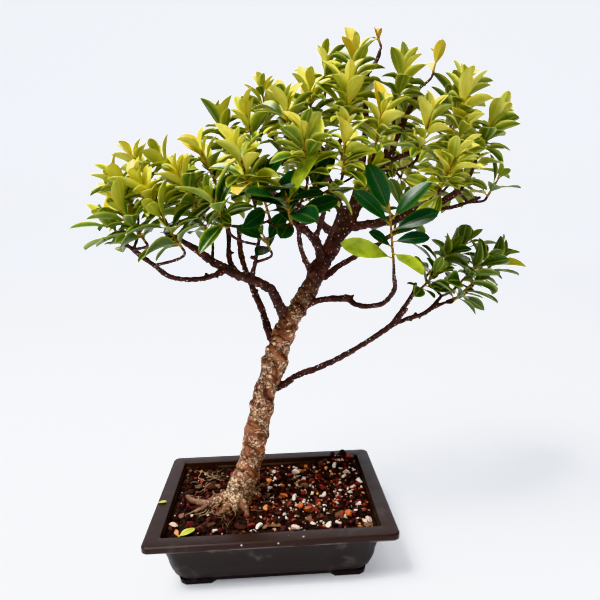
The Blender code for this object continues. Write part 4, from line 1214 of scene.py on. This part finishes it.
def paint_leaf(name, shades, finish):
    """A waxy leaf: from deep to pale green and yellow by the leaf's own tone, duller beneath and darkened
    there as painted shade.
    """
    deep, mid, pale = shades
    rough, rib, rim, gloss = finish
    material, place = new_material(name)
    tone = attribute_of(material, "tone")
    back = attribute_of(material, "back")
    marks = add_node(place.tree, "ShaderNodeGroup", {"Place": place}, node_tree=LEAF_MARKS)
    uneven = (marks["Blotch"] - 0.5) * 0.45 + marks["Outer"] * ((0.95 - tone) * rim)
    shade = reckon("ADD", tone, uneven, clamp=True)
    body = add_node(place.tree, "ShaderNodeValToRGB", {"Fac": shade}, "Color")
    stops = body.socket.node.color_ramp.elements
    stops[0].color = (*deep, 1)
    stops[1].color = (*LEAF_OLD, 1)
    for position, colour in ((0.38, mid), (0.72, pale), (0.90, LEAF_GOLD)):
        stops.new(position).color = (*colour, 1)
    for mask, share in (("Veins", 0.03), ("Midrib", rib), ("Margin", rib)):
        body = blend(marks[mask] * share, body, VEIN_PALE)
    body = blend(marks["Base"] * 0.55, body, STALK_OCHRE)
    # Painted shade: the underside is blended towards a dark olive.
    body = blend(back, body, blend(0.36, body, LEAF_BENEATH_SHADED))
    rough = back * 0.22 + rough + marks["Blotch"] * 0.08
    relief = marks["Veins"] * 0.25 - marks["Midrib"]
    return finish_paint(material, body, (relief, 0.22, 0.0003), rough, gloss)


def paint_stem():
    """The young stem and bud: ochre going brown."""
    material, place = new_material("green_stem")
    cloud = clouds(place, 420.0, 4.0)
    colour = blend(band(cloud, 0.35, 0.65), STEM_BROWN, STEM_OCHRE)
    return finish_paint(material, colour, (cloud, 0.4, 0.0004), 0.5)


LEAF_PAINT = {}
for kind_name, kind_shades in LEAF_SHADES.items():
    paint = paint_leaf(kind_name + "_leaf", kind_shades, LEAF_FINISH[kind_name])
    LEAF_PAINT["leaf_" + kind_name] = paint
STEM_PAINT = paint_stem()


def stem_frames(start, end, radius):
    """A shoot's own stem, swelling in a ring at every other station, ending in a pointed bud."""
    line = (end - start).normalized()
    length = (end - start).length
    stations = []
    steps = max(4, round(length / (1.7 * MM)))
    for step in range(steps + 1):
        reach = step / steps
        bud = max(0.0, (reach * length - (length - 5 * MM)) / (5 * MM))
        swell = 1 + 0.16 * (step % 2)
        thin = (1 - 0.3 * reach) * swell * (1 - bud**1.4 * 0.93)
        stations.append((start + line * length * reach, radius * thin))
    return frames_of(stations)


def leaf_shell(points):
    """A leaf's upper side as a tree to test others against, with its middle and reach."""
    half = len(points) // 2
    tree = BVHTree.FromPolygons([Vector(p) for p in points[:half]], LEAF_TOP)
    return tree, Vector(points.mean(axis=0)), 0.5 * float(np.linalg.norm(np.ptp(points, axis=0)))


def stays_clear(shell, shells):
    """Whether a leaf stays out of the leaves that are there."""
    own, middle, reach = shell
    for tree, other, other_reach in shells:
        if (other - middle).length < reach + other_reach and own.overlap(tree):
            return False
    return True


def keep_if_clear(points, grown, shells):
    """Keeps a leaf where it touches no other, and tells whether it was kept."""
    shell = leaf_shell(points)
    clear = stays_clear(shell, shells)
    if clear:
        grown.append(points)
        shells.append(shell)
    return clear


def own_tone(draw, slot, shift):
    """How yellow a leaf is: round its kind's average, with a deep green one here and there."""
    average, spread = KIND_TONE[slot]
    deep = DEEP_STEP if draw.random() < DEEP_SHARE else 0.0
    return min(average + spread * draw.uniform(-1, 1) + shift - deep, YELLOW_FROM)


def tilt_leaf(draw, along, face):
    """A leaf's direction and face, rolled about its length and nodded a little."""
    roll, nod = draw.gauss(0, 0.30), draw.gauss(0, 0.13)
    face = face * math.cos(roll) + along.cross(face) * math.sin(roll)
    return along * math.cos(nod) + face * math.sin(nod), face * math.cos(nod) - along * math.sin(nod)


def leaf_bend(draw, kind, fold, curl):
    """A leaf's fold, curl, bluntness, twist and waviness, drawn at random."""
    folded = kind["fold"] * draw.uniform(*fold)
    curled = kind["curl"] * draw.uniform(*curl)
    return folded, curled, draw.random(), draw.uniform(-0.5, 0.5), draw.uniform(0.0, 0.05)


def draw_main_leaves(draw, name, slot, leaves, shells):
    """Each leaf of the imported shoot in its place, tilted a little where it touches no other."""
    kind = LEAF_KINDS[slot]
    grown, tones = [], []
    for index, leaf in enumerate(leaves):
        root, along, face, length, half = leaf_frame(leaf, kind)
        own = OWN_TONES.get(name, {}).get(index)
        yellow = own is not None and own > YELLOW_FROM and name not in POSED_SHOOTS
        if slot == "leaf_dark" or yellow:
            longer, wider = OWN_SIZES.get((name, index), YELLOW_SIZE if yellow else (1.0, DARK_WIDER))
            face = face + Vector((0, -FRONT_TURN, 0))
            face = square_to(face, along)
        else:
            least = kind["least"]
            longer, wider = draw.uniform(least, least + 0.20), draw.uniform(least + 0.02, least + 0.28)
            longer, wider = OWN_SIZES.get((name, index), (longer, wider))
        length *= longer
        half *= wider
        shape = leaf_bend(draw, kind, (0.7, 1.5), (0.7, 1.1))
        points = draw_leaf((root, along, face, length, half), *shape)
        if name not in POSED_SHOOTS and not yellow:
            for _ in range(4):
                tilted = draw_leaf((root, *tilt_leaf(draw, along, face), length, half), *shape)
                if stays_clear(leaf_shell(tilted), shells):
                    points = tilted
                    break
        grown.append(points)
        shells.append(leaf_shell(points))
        height = index / max(1, len(leaves) - 1)
        tone = own_tone(draw, slot, SHOOT_TONES.get(name, 0.0) + TONE_RISE * (height - 0.5))
        tones.append(tone if own is None else own)
    return grown, tones


def draw_small_leaves(draw, name, slot, size, start, end, shells):
    """Small leaves between the others, the youngest packed round the bud, where there is room; those off the
    bud are darker, for age and as painted shade inside the crown.
    """
    kind = LEAF_KINDS[slot]
    line = (end - start).normalized()
    across = line.orthogonal().normalized()
    other = line.cross(across)
    grown, tones = [], []
    for index in range(FEWER_LEAVES.get(name, TIP_LEAVES + EXTRA_LEAVES[slot])):
        young = index < TIP_LEAVES
        for _ in range(7):
            angle = draw.uniform(0, math.tau)
            out = across * math.cos(angle) + other * math.sin(angle)
            reach = draw.uniform(0.82, 0.96) if young else draw.uniform(0.05, 0.8)
            lift = math.radians(draw.uniform(8, 38) if young else draw.uniform(45, 95))
            along = line * math.cos(lift) + out * math.sin(lift)
            face = line * math.sin(lift) - out * math.cos(lift)
            length = size * (draw.uniform(0.30, 0.58) if young else draw.uniform(0.42, 0.74))
            half = length * kind["width"] * draw.uniform(0.85, 1.05)
            root = start + (end - start) * reach + out * 0.8 * MM
            shape = leaf_bend(draw, kind, (0.9, 1.6), (0.5, 1.3))
            points = draw_leaf((root, along, face, length, half), *shape)
            if keep_if_clear(points, grown, shells):
                # The leaves off the bud are made much darker: they are older, and this is also painted shade
                # inside the crown.
                shift = SHOOT_TONES.get(name, 0.0) + (0.20 if young else -0.34)
                tones.append(own_tone(draw, slot, shift))
                break
    return grown, tones


def draw_twig_leaves(draw, slot, size, stations, shells):
    """Older, darker leaves set one by one along the twig, where there is room."""
    kind = LEAF_KINDS[slot]
    grown, tones = [], []
    for _ in range(TWIG_LEAVES):
        for _ in range(6):
            at = draw.randrange(3, len(stations) - 2)
            place, radius = stations[at]
            if place.z < TWIG_LEAVES_FROM:
                continue
            line = (stations[at + 1][0] - stations[at - 1][0]).normalized()
            out = line.orthogonal().normalized()
            out = Matrix.Rotation(draw.uniform(0, math.tau), 3, line) @ out
            lift = math.radians(draw.uniform(40, 90))
            along = (line * math.cos(lift) + out * math.sin(lift) + Vector((0, 0, -0.12))).normalized()
            face = line * math.sin(lift) - out * math.cos(lift) + Vector((0, 0, 0.5))
            face = square_to(face, along)
            length = size * draw.uniform(0.50, 0.90)
            half = length * kind["width"] * draw.uniform(0.9, 1.1)
            shape = leaf_bend(draw, kind, (0.5, 1.2), (0.5, 1.5))
            points = draw_leaf((place + out * radius * 0.5, along, face, length, half), *shape)
            if keep_if_clear(points, grown, shells):
                tones.append(draw.uniform(0.02, 0.30))
                break
    return grown, tones


def leaves_piece(name, node, slot, grown, tones, stem=None):
    """One piece of leaves, each with its own tone, on a stem if one is given."""
    copies = [(own, LEAF_FACES) for own in grown]
    places = LEAF_PLACES * len(grown)
    backs = LEAF_BACKS * len(grown)
    shades = [min(1.0, max(0.0, tone)) for tone in tones for _ in LEAF_PLACES]
    if stem:
        bare = len(stem[0])
        copies.insert(0, stem)
        places = [(0.5, 0.5)] * bare + places
        backs = [0.0] * bare + backs
        shades = [0.5] * bare + shades
    points, faces = merge(copies)
    mesh = bpy.data.meshes.new(name)
    mesh.from_pydata(points.tolist(), [], faces)
    store(mesh, "tone", shades)
    store(mesh, "back", backs)
    corners = np.zeros(len(mesh.loops), np.int32)
    mesh.loops.foreach_get("vertex_index", corners)
    layer = mesh.uv_layers.new(name="blade")
    layer.data.foreach_set("uv", np.array(places, np.float32)[corners].ravel())
    mesh.materials.append(LEAF_PAINT[slot])
    if stem:
        mesh.materials.append(STEM_PAINT)
        which = np.zeros(len(mesh.polygons), np.int32)
        which[:len(stem[1])] = 1
        mesh.polygons.foreach_set("material_index", which)
    mesh.shade_smooth()
    piece = put_in(name, mesh)
    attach(piece, "root")
    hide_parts(node)
    return piece


def dress_shoot(number, name, node, leaves, start, end, stations, shells):
    """Builds one shoot's piece: its stem and bud, its leaves, and the smaller leaves between."""
    slot = node.data.materials[0].name.split(".")[0]
    draw = random.Random(5200 + number)
    size = sum((leaf[5] - leaf[0]).length for leaf in leaves) / max(1, len(leaves))
    groups = [
        draw_main_leaves(draw, name, slot, leaves, shells),
        draw_small_leaves(draw, name, slot, size, start, end, shells),
    ]
    if name not in FEWER_LEAVES:
        groups.append(draw_twig_leaves(draw, slot, size, stations, shells))
    grown = [own for points, _ in groups for own in points]
    tones = [tone for _, shades in groups for tone in shades]
    stem_points, stem_faces, _ = tube(stem_frames(start, end, TWIG_RADIUS), STEM_SIDES)
    stem = (np.array(stem_points), stem_faces)
    piece = leaves_piece("leaves_" + name, node.name, slot, grown, tones, stem)
    smooth_by_angle(piece, 60)


def twig_to(tip, axis, stations):
    """A twig from the nearest wood below its tip that arrives along the shoot's line."""

    def reach(station):
        """How far a twig from there has to grow, longer where it would lie flat or stand steep."""
        away = tip - station[0]
        level = math.hypot(away.x, away.y)
        too_flat = max(0.0, 0.45 * level - away.z)
        too_steep = max(0.0, 14 * MM - away.length)
        return away.length + 1.6 * too_flat + 4 * too_steep

    place, radius = min(stations, key=reach)
    span = (tip - place).length
    first = place + (tip - place) * 0.33 + Vector((0, 0, -0.06 * span))
    second = tip - axis * 0.3 * span
    last = tip - axis * TWIG_STRAIGHT
    foot = min(TWIG_FOOT_RADIUS, radius * 0.8)
    made, knots = [], []
    for step in range(TWIG_STEPS + 1):
        t = step / TWIG_STEPS
        point = (
            place * (1 - t) ** 3
            + first * 3 * t * (1 - t) ** 2
            + second * 3 * t * t * (1 - t)
            + last * t**3
        )
        knot = 1.14 if step % 2 else 0.96
        made.append((point, (foot + (TWIG_RADIUS - foot) * t) * knot))
        if step == TWIG_STEPS // 2 + 1:
            knots.append((point, foot + (TWIG_RADIUS - foot) * 0.5))
    return made + [(tip + axis * 0.6 * MM, TWIG_RADIUS)], knots


wood_ends = []
for points in BRANCHES.values():
    wood_ends += follow(points, 1)[1:]
nodes = [row["node"] for row in frame["record"]["subparts"]]
shoot_names = [name.removeprefix("shoot_") for name in nodes if name.startswith("shoot_")]
leaf_shells, twig_copies, twig_places = [], [], []
for number, name in enumerate(shoot_names):
    node = frame["nodes"]["shoot_" + name]
    leaves, start, end, line = read_shoot(node)
    stations, knots = twig_to(start, line, wood_ends)
    wood_ends += knots
    dress_shoot(number, name, node, leaves, start, end, stations, leaf_shells)
    rows = frames_of(stations)
    points, faces, places = tube(rows, TWIG_SIDES)
    twig_copies.append((np.array(points), faces))
    twig_places += [(x, y, z + 0.21 * number) for x, y, z in places]
twigs = join_copies("twigs", twig_copies, bark)
give_bark(twigs, twig_places, np.zeros(len(twig_places)))
twigs.data.shade_smooth()

# Two bits that have dropped: a yellow-green leaf on the soil at the front left, and a scrap
# of leaf on the left rim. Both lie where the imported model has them.
DROPPED_SHAPE = (0.16, 0.03, 0.3, 0.05, 0.04)
DROPPED_HALF = 0.24


def dropped_leaf(name, node, turn, tone):
    """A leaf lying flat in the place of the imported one, turned that way."""
    low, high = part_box(node)
    middle = (low + high) / 2
    length = max(high.x - low.x, high.y - low.y) * 1.02
    along = Vector((math.cos(turn), math.sin(turn), 0))
    start = Vector((middle.x, middle.y, high.z)) - along * length / 2
    up = Vector((0, 0, 1))
    points = draw_leaf((start, along, up, length, length * DROPPED_HALF), *DROPPED_SHAPE)
    leaves_piece(name, node, "leaf_young", [points], [tone])


dropped_leaf("dropped_leaf", "fallen_leaf", math.radians(42), 0.36)
dropped_leaf("rim_scrap", "leaf_scrap", math.radians(8), 0.34)

# The studio: a pale floor that sweeps up into the backdrop, a large soft light above at the
# left, weaker ones in front and behind, and the camera where the photograph was taken from.
FLOOR_PALE = (0.86, 0.875, 0.91)
FLOOR_GLOW = (0.18, 1.02)
FLOOR_SIZE = 7.0
FLOOR_AT = (0, 0.9, 0)
FLOOR_WIDER = 2.2
BACKDROP_HEIGHT = 5
CAMERA_AT = Vector((9.1, -536.7, 377.9)) * MM
CAMERA_TURN, CAMERA_DIP, CAMERA_ROLL = 0.05313, 0.17112, -0.02268
CAMERA_LENS = 30.33
SWEEP_STEPS = 12
SWEEP_STEP = 0.16
SKY_COLOUR = (0.93, 0.95, 1.0, 1)
BEYOND_COLOUR = (0.87, 0.90, 0.95, 1)


def build_floor():
    """A pale sheet that curls up behind. It glows a little, more towards its two ends."""
    floor = start_piece("floor")
    bpy.ops.mesh.primitive_plane_add(size=FLOOR_SIZE, location=FLOOR_AT)
    bpy.ops.transform.resize(value=(FLOOR_WIDER, 1, 1), center_override=FLOOR_AT)
    bpy.ops.mesh.select_mode(type="EDGE")
    mesh = bmesh.from_edit_mesh(floor.data)
    for edge in mesh.edges:
        edge.select_set(all(v.co.y > FLOOR_AT[1] for v in edge.verts))
    bmesh.update_edit_mesh(floor.data)
    for step in range(1, SWEEP_STEPS + 1):
        angle = math.radians(90 / SWEEP_STEPS * step)
        move = Vector((0, math.cos(angle), math.sin(angle))) * SWEEP_STEP
        bpy.ops.mesh.extrude_edges_move(TRANSFORM_OT_translate={"value": move})
    bpy.ops.mesh.extrude_edges_move(TRANSFORM_OT_translate={"value": (0, 0, BACKDROP_HEIGHT)})
    bpy.ops.object.mode_set(mode="OBJECT")
    floor.data.shade_smooth()
    material, place = new_material("pale_paper")
    away = along_axis(place, "Y")
    near_glow, far_glow = FLOOR_GLOW
    ends = reckon("MAXIMUM", band(away, 0.2, 4.0), band(away * -1.0, 0.9, 2.6) * 0.6)
    inputs = {
        "Base Color": (*FLOOR_PALE, 1), "Roughness": 0.85, "Emission Color": SKY_COLOUR,
        "Specular IOR Level": 0.35, "Emission Strength": ends * (far_glow - near_glow) + near_glow,
    }
    plug(material.node_tree.nodes["Principled BSDF"], inputs)
    floor.data.materials.append(material)


def add_area_light(name, place, size, power, colour):
    """A square soft light, aimed at the middle of the tree."""
    lamp = put_in(name, bpy.data.lights.new(name, "AREA"))
    lamp.data.size = size
    lamp.data.energy = power
    lamp.data.color = colour
    lamp.location = place
    lamp.rotation_euler = (Vector((0, 0, 0.3)) - Vector(place)).to_track_quat("-Z", "Y").to_euler()


def add_camera():
    """The camera, turned, dipped and rolled as it was for the photograph."""
    sa, ca = math.sin(CAMERA_TURN), math.cos(CAMERA_TURN)
    se, ce = math.sin(CAMERA_DIP), math.cos(CAMERA_DIP)
    sr, cr = math.sin(CAMERA_ROLL), math.cos(CAMERA_ROLL)
    ahead = Vector((sa * ce, ca * ce, -se))
    level = Vector((ca, -sa, 0))
    above = level.cross(ahead)
    right = level * cr + above * sr
    up = above * cr - level * sr
    camera = put_in("camera", bpy.data.cameras.new("camera"))
    camera.data.sensor_width = 36
    camera.data.lens = CAMERA_LENS
    place = Matrix((right, up, -ahead)).transposed().to_4x4()
    place.translation = CAMERA_AT + POT_AT
    camera.matrix_world = place
    bpy.context.scene.camera = camera


bpy.context.scene.view_settings.view_transform = "Khronos PBR Neutral"
build_floor()
add_area_light("softbox_above", (-1.15, -0.75, 2.35), 1.05, 116, (1.0, 0.985, 0.96))
add_area_light("fill_front", (0.9, -2.0, 1.0), 1.6, 14, (0.95, 0.97, 1.0))
add_area_light("softbox_back", (0.5, 1.2, 2.4), 1.4, 22, (1.0, 1.0, 1.0))
world = bpy.data.worlds.new("studio")
world.use_nodes = True
world_tree = world.node_tree
sky = world_tree.nodes["Background"]
plug(sky, {"Color": SKY_COLOUR, "Strength": 0.16})
beyond = add_node(world_tree, "ShaderNodeBackground", {"Color": BEYOND_COLOUR, "Strength": 1.0})
seen = add_node(world_tree, "ShaderNodeLightPath", output="Is Camera Ray")
both = add_node(world_tree, "ShaderNodeMixShader", {0: seen, 1: Coat(world_tree, sky.outputs[0]), 2: beyond})
plug(world_tree.nodes["World Output"], {"Surface": both})
bpy.context.scene.world = world
add_camera()
